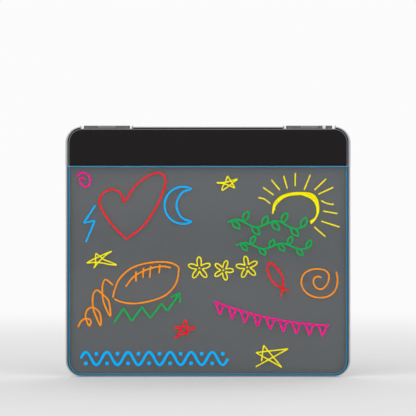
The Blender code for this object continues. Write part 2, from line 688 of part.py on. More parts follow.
def make_channel(board):
    """Aluminium channel that holds the strip of lights over the panel's top edge."""
    front = SLOT_FRONT - CHANNEL_WALL
    back = SLOT_BACK + CHANNEL_WALL
    section = [
        (front, CHANNEL_BOTTOM),
        (SLOT_FRONT, CHANNEL_BOTTOM),
        (SLOT_FRONT, CHANNEL_ROOF),
        (SLOT_BACK, CHANNEL_ROOF),
        (SLOT_BACK, CHANNEL_BOTTOM),
        (back, CHANNEL_BOTTOM),
        (back, CHANNEL_TOP),
        (front, CHANNEL_TOP),
    ]
    channel = bar("light_channel", section, -CHANNEL_HALF, CHANNEL_HALF)
    half = EAR_WIDTH / 2
    root = CHANNEL_TOP - OVERLAP
    bore = SMALL_SCREW_SHANK / 2 + CLEARANCE
    z = CHANNEL_SCREW_Z
    ears = []
    holes = []
    for x in CHANNEL_SCREW_PLACES:
        ears.append(((x - half, SLOT_BACK, root), (x + half, back, EAR_TOP)))
        holes.append((bore, (x, 0, z), (x, back + REACH, z)))
    combine(channel, as_cutter(solid("light_channel_ears", ears), board), "UNION")
    combine(channel, as_cutter(solid("light_channel_bores", rods=holes), board), "DIFFERENCE")
    return as_part(channel, "aluminium", board)


def make_strip(board):
    """Strip of light-emitting diodes, which shine down into the panel's top edge."""
    half = CHANNEL_HALF - CLEARANCE
    low = (-half, SLOT_FRONT + CLEARANCE, STRIP_BOTTOM)
    high = (half, SLOT_BACK - CLEARANCE, STRIP_TOP)
    strip = solid("led_strip", [(low, high)])
    count = int((2 * half - LED_WIDTH) / LED_PITCH) + 1
    wide = LED_WIDTH / 2
    deep = LED_DEPTH / 2
    root = STRIP_BOTTOM + STRIP_THICKNESS / 2
    lamps = []
    for index in range(count):
        x = (index - (count - 1) / 2) * LED_PITCH
        corner = (x - wide, STRIP_MIDDLE - deep, LED_BOTTOM)
        lamps.append((corner, (x + wide, STRIP_MIDDLE + deep, root)))
    combine(strip, as_cutter(solid("led_strip_lamps", lamps), board), "UNION")
    return as_part(strip, "light_strip", board)


def make_driver(board):
    """Driver board with its capacitor and chip, over the middle of the channel."""
    half_x = DRIVER_WIDTH / 2
    half_z = DRIVER_HEIGHT / 2
    low = (-half_x, DRIVER_FRONT, DRIVER_Z - half_z)
    base = solid("driver_board", [(low, (half_x, DRIVER_BACK, DRIVER_Z + half_z))])
    radius = STANDOFF_PIN / 2 + CLEARANCE
    holes = [(radius, (x, -REACH, DRIVER_Z), (x, COVER_REAR, DRIVER_Z)) for x in standoff_places()]
    combine(base, as_cutter(solid("driver_board_holes", rods=holes), board), "DIFFERENCE")
    as_part(base, "green_board", board)
    seat = DRIVER_FRONT - CLEARANCE
    start = (-CAPACITOR_OFFSET, seat, DRIVER_Z)
    end = (-CAPACITOR_OFFSET, seat - CAPACITOR_LENGTH, DRIVER_Z)
    as_part(solid("capacitor", rods=[(CAPACITOR_DIAMETER / 2, start, end)]), "capacitor_case", board)
    chip_low = (CHIP_OFFSET - CHIP_WIDTH / 2, seat - CHIP_THICKNESS, DRIVER_Z - CHIP_HEIGHT / 2)
    chip_high = (CHIP_OFFSET + CHIP_WIDTH / 2, seat, DRIVER_Z + CHIP_HEIGHT / 2)
    as_part(solid("driver_chip", [(chip_low, chip_high)]), "chip_case", board)


def smooth_route(points, steps=4):
    """A Catmull-Rom curve through a short list of places."""
    places = [Vector(point) for point in points]
    places = [2 * places[0] - places[1], *places, 2 * places[-1] - places[-2]]
    route = []
    for a, b, c, d in zip(places, places[1:], places[2:], places[3:]):
        for step in range(steps):
            t = step / steps
            square = 2 * a - 5 * b + 4 * c - d
            cube = 3 * b - a - 3 * c + d
            route.append((2 * b + (c - a) * t + square * t**2 + cube * t**3) / 2)
    return [*route, places[-2]]


def make_wire(name, finish, row, board):
    """Insulated wire from the driver board to the end of the strip, above the channel."""
    radius = WIRE_DIAMETER / 2
    run_y = SLOT_FRONT + CLEARANCE + radius
    run_z = CHANNEL_TOP + CLEARANCE + radius + row * WIRE_PITCH
    start_x = DRIVER_WIDTH / 2 - CLEARANCE - radius - (1 - row) * 2 * WIRE_PITCH
    start_y = DRIVER_FRONT - CLEARANCE
    start_z = DRIVER_Z - DRIVER_HEIGHT / 2 + radius + CLEARANCE
    bend_x = CHANNEL_HALF + 2 * CLEARANCE + radius + row * WIRE_PITCH
    end_y = STRIP_MIDDLE + (row - 0.5) * WIRE_PITCH
    end_z = (STRIP_BOTTOM + STRIP_TOP) / 2
    places = [
        (start_x, start_y, start_z),
        (start_x, (start_y + run_y) / 2, start_z),
        (start_x + 2 * WIRE_PITCH, run_y, (start_z + run_z) / 2),
        (start_x + 6 * WIRE_PITCH, run_y, run_z),
        (CHANNEL_HALF / 2, run_y, run_z),
        (CHANNEL_HALF - 2 * WIRE_PITCH, run_y, run_z),
        (bend_x, (run_y + end_y) / 2, run_z - WIRE_PITCH),
        (bend_x + radius / 2, end_y, end_z + WIRE_PITCH / 2),
        (CHANNEL_HALF, end_y, end_z),
    ]
    curve = bpy.data.curves.new(name, "CURVE")
    curve.dimensions = "3D"
    curve.bevel_depth = radius
    curve.bevel_resolution = 1
    curve.use_fill_caps = True
    spline = curve.splines.new("POLY")
    route = smooth_route(places)
    spline.points.add(len(route) - 1)
    for point, place in zip(spline.points, route):
        point.co = (*place, 1)
    return as_part(bpy.data.objects.new(name, curve), finish, board)


def make_gland(board):
    """White gland that the lead comes out of, held under the notch floor by a flange."""
    half_x = GLAND_WIDTH / 2
    half_y = GLAND_DEPTH / 2
    top = NOTCH_FLOOR + GLAND_HEIGHT
    flange_top = NOTCH_CEILING - CLEARANCE
    flange_low = flange_top - GLAND_FLANGE_HEIGHT
    gland = solid("lead_gland", [((-half_x, -half_y, flange_low), (half_x, half_y, top))])
    out = GLAND_FLANGE
    flange = ((-half_x - out, -half_y - out, flange_low), (half_x + out, half_y + out, flange_top))
    bore_x = half_x - GLAND_WALL
    bore_y = half_y - GLAND_WALL
    bore = ((-bore_x, -bore_y, flange_low - REACH), (bore_x, bore_y, top + REACH))
    place = Matrix.Translation((GLAND_X, GLAND_Y, 0))
    for name, box, operation in (
        ("lead_gland_flange", flange, "UNION"),
        ("lead_gland_bore", bore, "DIFFERENCE"),
    ):
        tool = as_cutter(solid(name, [box]), board)
        tool.data.transform(place)
        combine(gland, tool, operation)
    gland.data.transform(place)
    return as_part(gland, "white_gland", board)


def screw_mesh(name, head, shank, length):
    """A pan-head screw with a cross recess, its head above z = 0 and its shank below."""
    radius = shank / 2
    edge = head / 2
    crown = [(edge * across, SCREW_HEAD_HEIGHT * up) for across, up in HEAD_SHARES]
    stem = [(radius, 0), (radius, -length + radius), (radius * TIP_SHARE, -length), (0, -length)]
    item = turned(name, [*crown, *stem], SCREW_SIDES)
    half = RECESS_WIDTH / 2
    arm = head * RECESS_SHARE
    floor = SCREW_HEAD_HEIGHT - RECESS_DEPTH
    roof = SCREW_HEAD_HEIGHT + REACH
    for axis, (x, y) in (("along", (arm, half)), ("across", (half, arm))):
        tool = as_cutter(solid(f"{name}_{axis}", [((-x, -y, floor), (x, y, roof))]), None)
        combine(item, tool, "DIFFERENCE")
    return shade_round(frozen(item))


def put_screw(name, mesh, place, towards, board):
    """A screw whose head faces along a direction."""
    item = as_part(bpy.data.objects.new(name, mesh), "steel", board, place)
    item.rotation_mode = "QUATERNION"
    item.rotation_quaternion = Vector(towards).to_track_quat("Z", "Y")
    return item


def make_screws(board):
    """Cover screws from behind, channel screws from the front, bracket screws from above."""
    cover = screw_mesh("cover_screw", COVER_SCREW_HEAD, COVER_SCREW_SHANK, COVER_SCREW_LENGTH)
    seat = COVER_REAR - COUNTERBORE_DEPTH + CLEARANCE
    for index, x in enumerate(COVER_SCREW_PLACES, 1):
        put_screw(f"cover_screw_{index}", cover, (x, seat, COVER_SCREW_Z), (0, 1, 0), board)
    channel = screw_mesh("channel_screw", SMALL_SCREW_HEAD, SMALL_SCREW_SHANK, CHANNEL_SCREW_LENGTH)
    for index, x in enumerate(CHANNEL_SCREW_PLACES, 1):
        place = (x, SLOT_BACK - CLEARANCE, CHANNEL_SCREW_Z)
        put_screw(f"channel_screw_{index}", channel, place, (0, -1, 0), board)
    bracket = screw_mesh("bracket_screw", SMALL_SCREW_HEAD, SMALL_SCREW_SHANK, BRACKET_SCREW_LENGTH)
    index = 0
    for side in (-1, 1):
        for end in (-1, 1):
            index += 1
            place = (side * NOTCH_X + end * BRACKET_SCREW_X, BRACKET_SCREW_Y, FOOT_TOP + CLEARANCE)
            put_screw(f"bracket_screw_{index}", bracket, place, (0, 0, 1), board)


def knuckle_section():
    """A bracket knuckle and its foot seen from the side, about the hinge axis."""
    radius = KNUCKLE_DIAMETER / 2
    bottom = FOOT_BOTTOM - HINGE_Z
    top = FOOT_TOP - HINGE_Z
    front = FOOT_FRONT - HINGE_Y
    rise = FOOT_REAR - HINGE_Y - FOOT_THICKNESS
    return [(front, bottom), *arc((0, 0), radius, -90, 150, 2 * ARC_STEPS), (rise, top), (front, top)]


def make_bracket(name, hinge):
    """Hinge bracket: a foot screwed to the notch floor and a knuckle at each end."""
    bracket = bar(name, knuckle_section(), -BRACKET_HALF, BRACKET_HALF)
    gap = CENTRE_KNUCKLE / 2 + CLEARANCE
    back = FOOT_REAR - HINGE_Y
    low = (-gap, back, -KNUCKLE_DIAMETER)
    high = (gap, KNUCKLE_DIAMETER, KNUCKLE_DIAMETER)
    over_foot = (-gap, -KNUCKLE_DIAMETER * 2, FOOT_TOP - HINGE_Z)
    pin_bore = HINGE_PIN / 2 + CLEARANCE
    screw_y = BRACKET_SCREW_Y - HINGE_Y
    screw_bore = SMALL_SCREW_SHANK / 2 + CLEARANCE
    half_x = GLAND_WIDTH / 2 + CLEARANCE
    half_y = GLAND_DEPTH / 2 + CLEARANCE
    gland = (
        (GLAND_FROM_HINGE - half_x, GLAND_Y - half_y - HINGE_Y, -KNUCKLE_DIAMETER),
        (GLAND_FROM_HINGE + half_x, GLAND_Y + half_y - HINGE_Y, KNUCKLE_DIAMETER),
    )
    holes = [(pin_bore, (-BRACKET_HALF - REACH, 0, 0), (BRACKET_HALF + REACH, 0, 0))]
    for end in (-1, 1):
        x = end * BRACKET_SCREW_X
        holes.append((screw_bore, (x, screw_y, -KNUCKLE_DIAMETER), (x, screw_y, 0)))
    screw_well = SMALL_SCREW_HEAD / 2 + CLEARANCE
    pin_well = PIN_HEAD / 2 + CLEARANCE
    pin_floor = BRACKET_HALF - PIN_HEAD_HEIGHT - CLEARANCE
    wells = []
    for end in (-1, 1):
        x = end * BRACKET_SCREW_X
        wells.append((screw_well, (x, screw_y, FOOT_TOP - HINGE_Z), (x, screw_y, KNUCKLE_DIAMETER)))
        wells.append((pin_well, (end * pin_floor, 0, 0), (end * (BRACKET_HALF + REACH), 0, 0)))
    for suffix, blocks, rods in (
        ("gap", [(low, high)], []),
        ("step", [(over_foot, (gap, back + REACH, KNUCKLE_DIAMETER))], []),
        ("slot", [gland], []),
        ("bores", [], holes),
        ("wells", [], wells),
    ):
        tool = as_cutter(solid(f"{name}_{suffix}", blocks, rods), hinge)
        combine(bracket, tool, "DIFFERENCE")
    return as_part(bracket, "dark_grey_moulding", hinge)


def arm_section():
    """The arm seen from the side, about the hinge axis: knuckle, neck over the edge, leg behind."""
    radius = KNUCKLE_DIAMETER / 2
    half = ARM_THICKNESS / 2
    meet = math.degrees(math.asin(half / radius))
    near = ARM_FRONT - HINGE_Y
    far = ARM_BACK - HINGE_Y
    inner = arc((near - ARM_BEND, -half - ARM_BEND), ARM_BEND, 90, 0, 5)
    outer_radius = ARM_BEND + ARM_THICKNESS
    outer = arc((far - outer_radius, half - outer_radius), outer_radius, 0, 90, 6)
    round_end = arc((0, 0), radius, meet, 360 - meet, 2 * ARC_STEPS)
    return [*round_end, *inner, (near, -ARM_REACH), (far, -ARM_REACH), *outer]


def paddle_outline():
    """The round end that holds the cup, widening from the leg."""
    half = CENTRE_KNUCKLE / 2
    top = -ARM_REACH + PADDLE_RADIUS * PADDLE_BLEND
    return [(-half, top), *arc((0, -ARM_REACH), PADDLE_RADIUS, 160, 380, 2 * ARC_STEPS), (half, top)]


def make_arm(name, hinge):
    """Hanger arm, modelled about the hinge axis with its leg hanging down."""
    half = CENTRE_KNUCKLE / 2
    arm = bar(name, arm_section(), -half, half)
    near = ARM_FRONT - HINGE_Y
    far = ARM_BACK - HINGE_Y
    paddle = plate(name + "_paddle", paddle_outline(), near, far)
    rib_half = ARM_RIB_WIDTH / 2
    rib_top = -2 * ARM_BEND - ARM_THICKNESS
    rib_low = -ARM_REACH + SHOULDER_DIAMETER / 2 + CLEARANCE
    rib_box = ((-rib_half, far - OVERLAP, rib_low), (rib_half, far + ARM_RIB_HEIGHT, rib_top))
    pin_bore = HINGE_PIN / 2 + CLEARANCE
    neck_bore = NECK_DIAMETER / 2 + CLEARANCE
    holes = [
        (pin_bore, (-half - REACH, 0, 0), (half + REACH, 0, 0)),
        (neck_bore, (0, near - REACH, -ARM_REACH), (0, far + REACH, -ARM_REACH)),
    ]
    combine(arm, as_cutter(paddle, hinge), "UNION")
    combine(arm, as_cutter(solid(name + "_rib", [rib_box]), hinge), "UNION")
    combine(arm, as_cutter(solid(name + "_bores", rods=holes), hinge), "DIFFERENCE")
    return as_part(arm, "light_grey_moulding", hinge)


def cup_profile():
    """Cup profile, knob first: radius, then distance in front of the glass."""
    knob = KNOB_DIAMETER / 2
    neck = NECK_DIAMETER / 2
    shoulder = SHOULDER_DIAMETER / 2
    rim = CUP_DIAMETER / 2
    knob_top = GLASS_Y - KNOB_FRONT
    knob_low = knob_top - KNOB_THICKNESS
    back = GLASS_Y - CUP_BACK
    flare = back - SHOULDER_HEIGHT
    rounding = KNOB_THICKNESS / 3
    knob_side = arc((knob - rounding, knob_top - rounding), rounding, 90, 0, 3)
    points = [(0, knob_top), *knob_side]
    points += [(knob, knob_low + rounding / 2), (knob - rounding / 2, knob_low)]
    points += [(neck, knob_low), (neck, back), (shoulder - OVERLAP, back), (shoulder, back - OVERLAP)]
    for step in range(CUP_STEPS + 1):
        share = step / CUP_STEPS
        radius = shoulder + (rim - shoulder) * share
        points.append((radius, CUP_EDGE + (flare - CUP_EDGE) * (1 - share) ** CUP_FLARE))
    points += [(rim, 0), (rim - CUP_LIP, 0)]
    hollow = rim - CUP_LIP
    for step in range(1, CUP_STEPS + 1):
        share = step / CUP_STEPS
        depth = CUP_DEPTH * math.sin(math.pi / 2 * share) ** CUP_DISHING
        points.append((hollow * (1 - share), depth))
    return points


def make_cup(name, arm):
    """Suction cup turned about the axis of its neck, with a pull tab on its rim."""
    cup = turned(name, cup_profile(), CUP_SIDES)
    rim = CUP_DIAMETER / 2
    half = TAB_WIDTH / 2
    tab_outline = [(-half, 0), (half, 0), *arc((0, TAB_LENGTH - half + CUP_LIP), half, 0, 180)]
    tab = bpy.data.objects.new(name + "_tab", frozen(flat_curve(name, tab_outline, TAB_THICKNESS / 2, 0.0)))
    outwards = Matrix.Translation((0, CUP_LIP - rim, TAB_THICKNESS / 2 + CLEARANCE))
    tab.data.transform(outwards @ Matrix.Rotation(math.pi, 4, "Z"))
    turn = (math.pi / 2, 0, 0)
    place = (0, GLASS_Y - HINGE_Y, -ARM_REACH)
    as_cutter(tab, arm)
    for item in (cup, tab):
        item.rotation_euler = turn
        item.location = place
    combine(cup, tab, "UNION")
    return as_part(cup, "clear_rubber", arm, place)


def make_pin(name, hinge):
    """Hinge pin with a flat head at each end, sunk in the bracket."""
    half = BRACKET_HALF - PIN_HEAD_HEIGHT
    middle = half + PIN_HEAD_HEIGHT / 2
    outer = BRACKET_HALF
    pin = solid(name, rods=[(HINGE_PIN / 2, (-middle, 0, 0), (middle, 0, 0))])
    heads = [(PIN_HEAD / 2, (end * half, 0, 0), (end * outer, 0, 0)) for end in (-1, 1)]
    combine(pin, as_cutter(solid(name + "_heads", rods=heads), hinge), "UNION")
    return as_part(pin, "steel", hinge)


def make_hanger(side, label, board):
    """One hinge with its bracket, pin, arm and cup, about an empty on the hinge axis."""
    hinge = bpy.data.objects.new(f"hinge_axis_{label}", None)
    hinge.location = (side * NOTCH_X, HINGE_Y, HINGE_Z)
    hinge.parent = board
    PARTS.objects.link(hinge)
    make_bracket(f"hinge_bracket_{label}", hinge)
    make_pin(f"hinge_pin_{label}", hinge)
    arm = make_arm(f"hanger_arm_{label}", hinge)
    make_cup(f"suction_cup_{label}", arm)


def main():
    """Build the whole board."""
    board = bpy.data.objects.new("board_frame", None)
    board.location = (0, -GLASS_Y, -CUP_Z)
    PARTS.objects.link(board)
    make_front_cover(board)
    make_rear_cover(board)
    make_bands(board)
    make_panel(board)
    make_sheet(board)
    make_edging(board)
    make_seals(board)
    make_channel(board)
    make_strip(board)
    make_driver(board)
    make_wire("red_wire", "red_insulation", 0, board)
    make_wire("black_wire", "black_insulation", 1, board)
    make_gland(board)
    make_screws(board)
    make_hanger(-1, "left", board)
    make_hanger(1, "right", board)


clear_scene()
PARTS = new_collection("led_writing_board")
CUTTERS = new_collection("cutters")
main()
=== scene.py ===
import math

import bmesh
import bpy
import numpy as np
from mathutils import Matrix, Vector


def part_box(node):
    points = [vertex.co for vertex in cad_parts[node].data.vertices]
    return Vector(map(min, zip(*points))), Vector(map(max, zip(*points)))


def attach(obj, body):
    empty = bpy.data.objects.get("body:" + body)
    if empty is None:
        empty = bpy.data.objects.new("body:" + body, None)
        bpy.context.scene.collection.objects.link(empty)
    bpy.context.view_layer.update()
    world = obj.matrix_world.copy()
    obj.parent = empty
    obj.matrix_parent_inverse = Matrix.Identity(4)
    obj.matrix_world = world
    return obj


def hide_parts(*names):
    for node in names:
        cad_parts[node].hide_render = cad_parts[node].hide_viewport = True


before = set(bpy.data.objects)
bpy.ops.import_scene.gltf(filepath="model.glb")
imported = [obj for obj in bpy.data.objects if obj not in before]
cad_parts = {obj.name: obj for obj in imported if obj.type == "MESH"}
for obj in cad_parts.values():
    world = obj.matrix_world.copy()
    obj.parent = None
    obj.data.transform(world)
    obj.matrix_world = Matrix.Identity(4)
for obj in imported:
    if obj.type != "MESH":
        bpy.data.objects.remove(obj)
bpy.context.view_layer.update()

bl_info = {
    "name": "Edge-lit writing board",
    "version": (1, 0, 0),
    "blender": (4, 5, 0),
    "location": "View3D > Sidebar > Writing board",
    "description": "Covers, trims, clear panel, drawings, hangers and studio for an edge-lit board",
    "category": "Object",
}

MM = 0.001
EDGING_LOW, EDGING_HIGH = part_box("panel_edging")

# Where the board's own zero, the middle of its lower edge, lies in the frame, in metres
ORIGIN = np.array([0.0, (EDGING_LOW.y + EDGING_HIGH.y) / 2, EDGING_LOW.z])

# Outline of the board, in millimetres from the middle of its lower edge
HALF = 142.5
CORNER = 16.0
HEADER_BOTTOM = 211.0
SHOULDER = 210.7
TOP = 250.0
ARC_STEPS = 24

# Header covers and trim bands. GATE holds the gate's points in the cover's outline.
COVER_INSET = 2.1
COVER_HALF = HALF - COVER_INSET
COVER_TOP = TOP - COVER_INSET
COVER_WALL = 1.8
COVER_FACE = 8.0
BEVEL_REACH = 1.2
PARTING = 1.1
FLOOR_TAB = 0.8
SLOT = 2.3
GATE = slice(2, 4)
NOTCH_X = 101.5
NOTCHES = {"left": -NOTCH_X, "right": NOTCH_X}
NOTCH_HALF = 23.6
NOTCH_SEAT = 245.8
NOTCH_CEILING = 244.0
LIP = 1.2
BAND = 1.25
BAND_HALF_DEPTH = 7.0
BAND_END_HALF = 25.4
BAND_LIP = [(24.5, 247.4), (25.7, 247.4), (26.55, 251.05), (25.35, 251.05)]
BAND_LIP_FRONT = -7.75
BAND_LIP_BACK = 7.1
BAND_LIP_ROUND = 0.2
RIB = 0.8
RIB_START = BAND - 0.3
RIB_REACH = 3.6
RIB_SETBACK = 2.8
SIDE_EXTRA = 0.85

# Panel and edging, front to back
FACE_Y = -3.3
BASE_Y = -2.0
PANEL_BACK = 0.7
BASE_INSET = 1.0
FACE_INSET = 2.88
PANEL_BEVEL = 0.85
FACE_DROP = 1.33
TONGUE_HALF = 138.3
TONGUE_TOP = 226.0
EDGING_HALF_DEPTH = 3.3
EDGING_WALL = 0.8
FRONT_LIP = 1.75
LIP_DROP = 0.93
REAR_LIP = 4.0

# Screws: places, then the radius of head and shank, and the length
COVER_SCREW_Z = 239.2
COVER_SCREWS = (-130.5, -70.8, -24.0, 130.5, 70.8, 24.0)
COVER_SCREW_SEAT = 6.1
COVER_SCREW = (2.7, 1.3, 10.5)
BRACKET_SCREW_X = 20.0
BRACKET_SCREW_Y = -2.1
BRACKET_SCREW_SEAT = 247.6
BRACKET_SCREW = (2.2, 1.1, 7.5)
SCREW_HEAD = 1.5
CROSS_DEPTH = 0.8

# Posts of the cover screws: radii of post, bore, well and its mouth, then the depths
# at which the post ends and the well's floor lies
POST = 4.0
SCREW_BORE = 1.6
WELL = 3.0
WELL_MOUTH = 3.6
POST_END = 1.4
WELL_FLOOR = 5.8

# Hinges, arms and cups
HINGE_Y = 5.3
HINGE_Z = 248.8
KNUCKLE = 2.7
CENTRE_HALF = 8.0
SIDE_START = 8.3
BRACKET_HALF = 23.2
FOOT_FRONT = -6.5
FOOT_REAR = 2.3
FOOT_LOW = 246.1
FOOT_TOP = 247.3
PIN_BORE = 1.5
PIN_HEAD = 2.0
PIN_HEAD_START = 22.3
BRACKET_WELL = 2.5
ARM_FRONT = 12.0
ARM_BACK = 15.0
ARM_BEND = 2.0
LEG_TOP = HINGE_Z - 7
LEG_LOW = HINGE_Z - 13
CUP_Z = 217.8
GLASS_Y = 27.0
CUP_RIM = 27.0
CUP_HOLLOW = 24.6
CUP_NECK = 3.5
TAB_HALF = 4.5
TAB_LOW = CUP_Z - CUP_RIM - 2.5
TAB_TOP = CUP_Z - CUP_RIM + 2.4
PADDLE = 11.0
PADDLE_HOLE = 3.8
SPINE_HALF = 1.5
SPINE_LOW = CUP_Z + 7.3

# Gland for the lead: place, then the half sizes of hole, tube, flange and bore
GLAND_X = 116.1
GLAND_Y = -2.6
GLAND_TOP = 251.5
GLAND_LOW = NOTCH_CEILING - 1.5
GLAND_HOLE = (1.8, 2.6)
GLAND_TUBE = (1.5, 2.3)
GLAND_FLANGE = (2.2, 3.0)
GLAND_BORE = (0.8, 1.6)

# Studio: in metres the place and size of each lamp and the heights that lamps and camera face,
# and in millimetres the camera's sensor and how far the floor lies under the board
LAMPS = {"key": ((-2.0, -2.8, 1.8), 4.0), "fill": ((2.2, -2.5, 1.1), 3.3), "rear": ((0.7, 2.9, 1.9), 4.0)}
LAMP_AIM = 125 * MM
CAMERA_LEVEL = 168.7 * MM
SENSOR = 36
FLOOR_DROP = 0.3


def linear(code):
    """A six-digit colour code as linear red, green and blue."""
    levels = [int(code[i:i + 2], 16) / 255 for i in (0, 2, 4)]
    return tuple(v / 12.92 if v <= 0.04045 else ((v + 0.055) / 1.055) ** 2.4 for v in levels)


def colour(name, description, code):
    """A colour setting whose default is given by its code."""
    return bpy.props.FloatVectorProperty(
        name=name, description=description, subtype="COLOR", size=3, min=0, max=1, default=linear(code)
    )


def length(name, description, default):
    """A length setting, with its default in millimetres."""
    return bpy.props.FloatProperty(
        name=name, description=description, subtype="DISTANCE", unit="LENGTH", min=0, default=default * MM
    )


def watts(name, description, default):
    """A lamp's power in watts."""
    return bpy.props.FloatProperty(
        name=name, description=description, subtype="POWER", unit="POWER", min=0, default=default
    )


class BoardFinishes(bpy.types.PropertyGroup):
    """Colours of the board's materials."""

    header: colour("Header", "Black moulding of the header covers", "151112")
    # Painted highlight: the bevel's lighter grey stands in for the light that the header's chamfer
    # catches; only its lower roughness is real gloss.
    bevel: colour("Bevel", "Polished bevel round the header's face", "6A696C")
    trim: colour("Trim", "Silver bands and edging", "ACAEB2")
    # Painted shade: a near-black colour laid on the panel's step, the floor of the gap beside the edging's
    # lip, where shade falls.
    groove: colour("Groove", "Shade in the groove between edging and panel", "141010")
    sheet: colour("Sheet", "Grey sheet behind the clear panel", "5F6062")
    glow_high: colour("Bright glow", "Edge light next to the lamps", "2C9AC4")
    glow_low: colour("Dim glow", "Edge light far from the lamps", "228AB4")
    bracket: colour("Bracket", "Dark grey hinge brackets", "656769")
    arm: colour("Arm", "Light grey hanger arms", "7F8184")
    cup: colour("Cup", "Clear soft vinyl of the suction cups", "D6DEE0")
    gland: colour("Gland", "White gland for the lead", "F2F2F2")


class InkColours(bpy.types.PropertyGroup):
    """Colours of the neon inks."""

    red: colour("Red", "Red ink", "FF0C14")
    orange: colour("Orange", "Orange ink", "FF9A1A")
    yellow: colour("Yellow", "Yellow ink", "FFF200")
    green: colour("Green", "Green ink", "00B353")
    blue: colour("Blue", "Blue ink", "00B4FF")
    magenta: colour("Magenta", "Magenta ink", "FF0094")
    glow: bpy.props.FloatProperty(
        name="Ink glow", description="Share of the ink's colour that it gives off as light",
        subtype="FACTOR", min=0, max=1, default=0.55,
    )
    line: length("Line width", "Width of a thin line of ink", 1.6)
    height: length("Line height", "Height of a line of ink on the panel", 0.22)


class BoardShapes(bpy.types.PropertyGroup):
    """Sizes of the fine forms that the covers, trims and hangers get."""

    cover_bevel: length("Cover bevel", "Width of the bevel round the header's face", 1.0)
    trim_round: length("Trim rounding", "Rounding of the silver trims", 0.45)
    moulding_round: length("Moulding rounding", "Rounding of the brackets' and arms' edges", 0.35)
    cup_sides: bpy.props.IntProperty(
        name="Cup sides", description="Steps round each suction cup", min=24, max=192, default=96
    )


class StudioSettings(bpy.types.PropertyGroup):
    """Camera and lamps."""

    field: length("Field", "Width that the camera takes in at the panel", 416.4)
    lens: bpy.props.FloatProperty(
        name="Lens", description="Focal length in millimetres", min=20, max=400, default=200
    )
    key: watts("Key lamp", "Power of the large lamp on the left", 47)
    fill: watts("Fill lamp", "Power of the lamp on the right", 26)
    rear: watts("Rear lamp", "Power of the lamp behind", 35)
    room: bpy.props.FloatProperty(
        name="Room light", description="Level of the even light all round", min=0, max=2, default=0.55
    )


# Lines in the board's plane


def heading(angle):
    """Steps of length 1 towards angles in radians: (cos a, sin a)."""
    return np.stack([np.cos(angle), np.sin(angle)], axis=-1)


def arc(centre, radius, start, end, steps=ARC_STEPS):
    """Points at centre + radius (cos a, sin a), for a from start to end in degrees."""
    return centre + radius * heading(np.radians(np.linspace(start, end, steps + 1)))


def mirrored(line):
    """A line turned over in x and run backwards."""
    return (np.asarray(line, float) * (-1, 1))[::-1]


def inset(outline, distance):
    """A closed outline, counter-clockwise, moved inwards: each point goes by
    distance (m + n) / (1 + m.n), where m and n are the inward normals of its two edges."""
    line = np.asarray(outline, float)
    edge = np.roll(line, -1, axis=0) - line
    edge /= np.linalg.norm(edge, axis=1, keepdims=True)
    after = np.stack([-edge[:, 1], edge[:, 0]], axis=1)
    before = np.roll(after, 1, axis=0)
    share = 1 + np.sum(before * after, axis=1, keepdims=True)
    return line + distance * (before + after) / share


def softened(outline, setback, steps=5):
    """A closed outline with each corner c drawn as (1-t)^2 p + 2t(1-t) c + t^2 q,
    where p and q lie on its two edges at the setback from it, or just short of halfway."""
    line = np.asarray(outline, float)
    back = np.roll(line, 1, axis=0) - line
    ahead = np.roll(line, -1, axis=0) - line
    long_back = np.linalg.norm(back, axis=1, keepdims=True)
    long_ahead = np.linalg.norm(ahead, axis=1, keepdims=True)
    start = np.minimum(np.reshape(setback, (-1, 1)), np.minimum(long_back, long_ahead) * 0.49)
    p = (line + back / long_back * start)[:, None]
    q = (line + ahead / long_ahead * start)[:, None]
    t = np.linspace(0, 1, steps + 1)[None, :, None]
    return ((1 - t) ** 2 * p + 2 * t * (1 - t) * line[:, None] + t ** 2 * q).reshape(-1, 2)


def oblong(low, high, setback, steps=5):
    """A rectangle between two corners, counter-clockwise, with its corners softened."""
    return softened([low, (high[0], low[1]), high, (low[0], high[1])], setback, steps)


def centred(place, half, setback):
    """A softened rectangle of the given half sizes about a place."""
    place, half = np.array(place), np.array(half)
    return oblong(place - half, place + half, setback)


def smooth(points, spacing=0.8):
    """A smooth line through a few places. On the span from b to c, with neighbours a and d, it is
    (2b + (c-a)t + (2a-5b+4c-d)t^2 + (3b-a-3c+d)t^3) / 2 for t from 0 to 1."""
    places = np.asarray(points, float)
    places = np.vstack([2 * places[0] - places[1], places, 2 * places[-1] - places[-2]])
    a, b, c, d = (places[k:len(places) - 3 + k, None] for k in range(4))
    t = np.linspace(0, 1, 24, endpoint=False)[None, :, None]
    curve = 2 * b + (c - a) * t + (2 * a - 5 * b + 4 * c - d) * t ** 2 + (3 * b - a - 3 * c + d) * t ** 3
    return even(np.vstack([curve.reshape(-1, places.shape[1]) / 2, places[-2]]), spacing)


def even(line, spacing=0.8):
    """The same line with its points at even distances along it."""
    line = np.asarray(line, float)
    run = along(line)
    at = np.linspace(0, run[-1], max(2, int(run[-1] / spacing) + 1))
    return np.stack([np.interp(at, run, line[:, k]) for k in range(line.shape[1])], axis=1)


def along(line):
    """The distance run from the start of a line to each of its points."""
    steps = np.linalg.norm(np.diff(line, axis=0), axis=1)
    return np.concatenate([[0.0], np.cumsum(steps)])


def lower_outline(shrink, top):
    """The writing part of the board, counter-clockwise: rounded at its two lower corners."""
    half = HALF - shrink
    radius = CORNER - shrink
    left = arc((-half + radius, shrink + radius), radius, 180, 270)
    right = arc((half - radius, shrink + radius), radius, 270, 360)
    return np.vstack([left, right, [(half, top), (-half, top)]])


def cover_outline(floor):
    """The header cover, counter-clockwise, with a notch down to the floor near each upper corner.
    Its bottom edge has a pair of close points at each end of the gate that the panel goes through."""
    radius = CORNER - COVER_INSET
    corner = arc((COVER_HALF - radius, COVER_TOP - radius), radius, 0, 90)
    notch = np.array([(NOTCH_HALF, COVER_TOP), (NOTCH_HALF, floor)])
    right = np.vstack([corner, np.vstack([notch, mirrored(notch)]) + (NOTCH_X, 0)])
    gate = COVER_HALF - COVER_WALL
    bottom = [(x, HEADER_BOTTOM) for x in (-COVER_HALF, -gate, 0.01 - gate, gate - 0.01, gate, COVER_HALF)]
    return widened(np.vstack([bottom, right, mirrored(right)]))


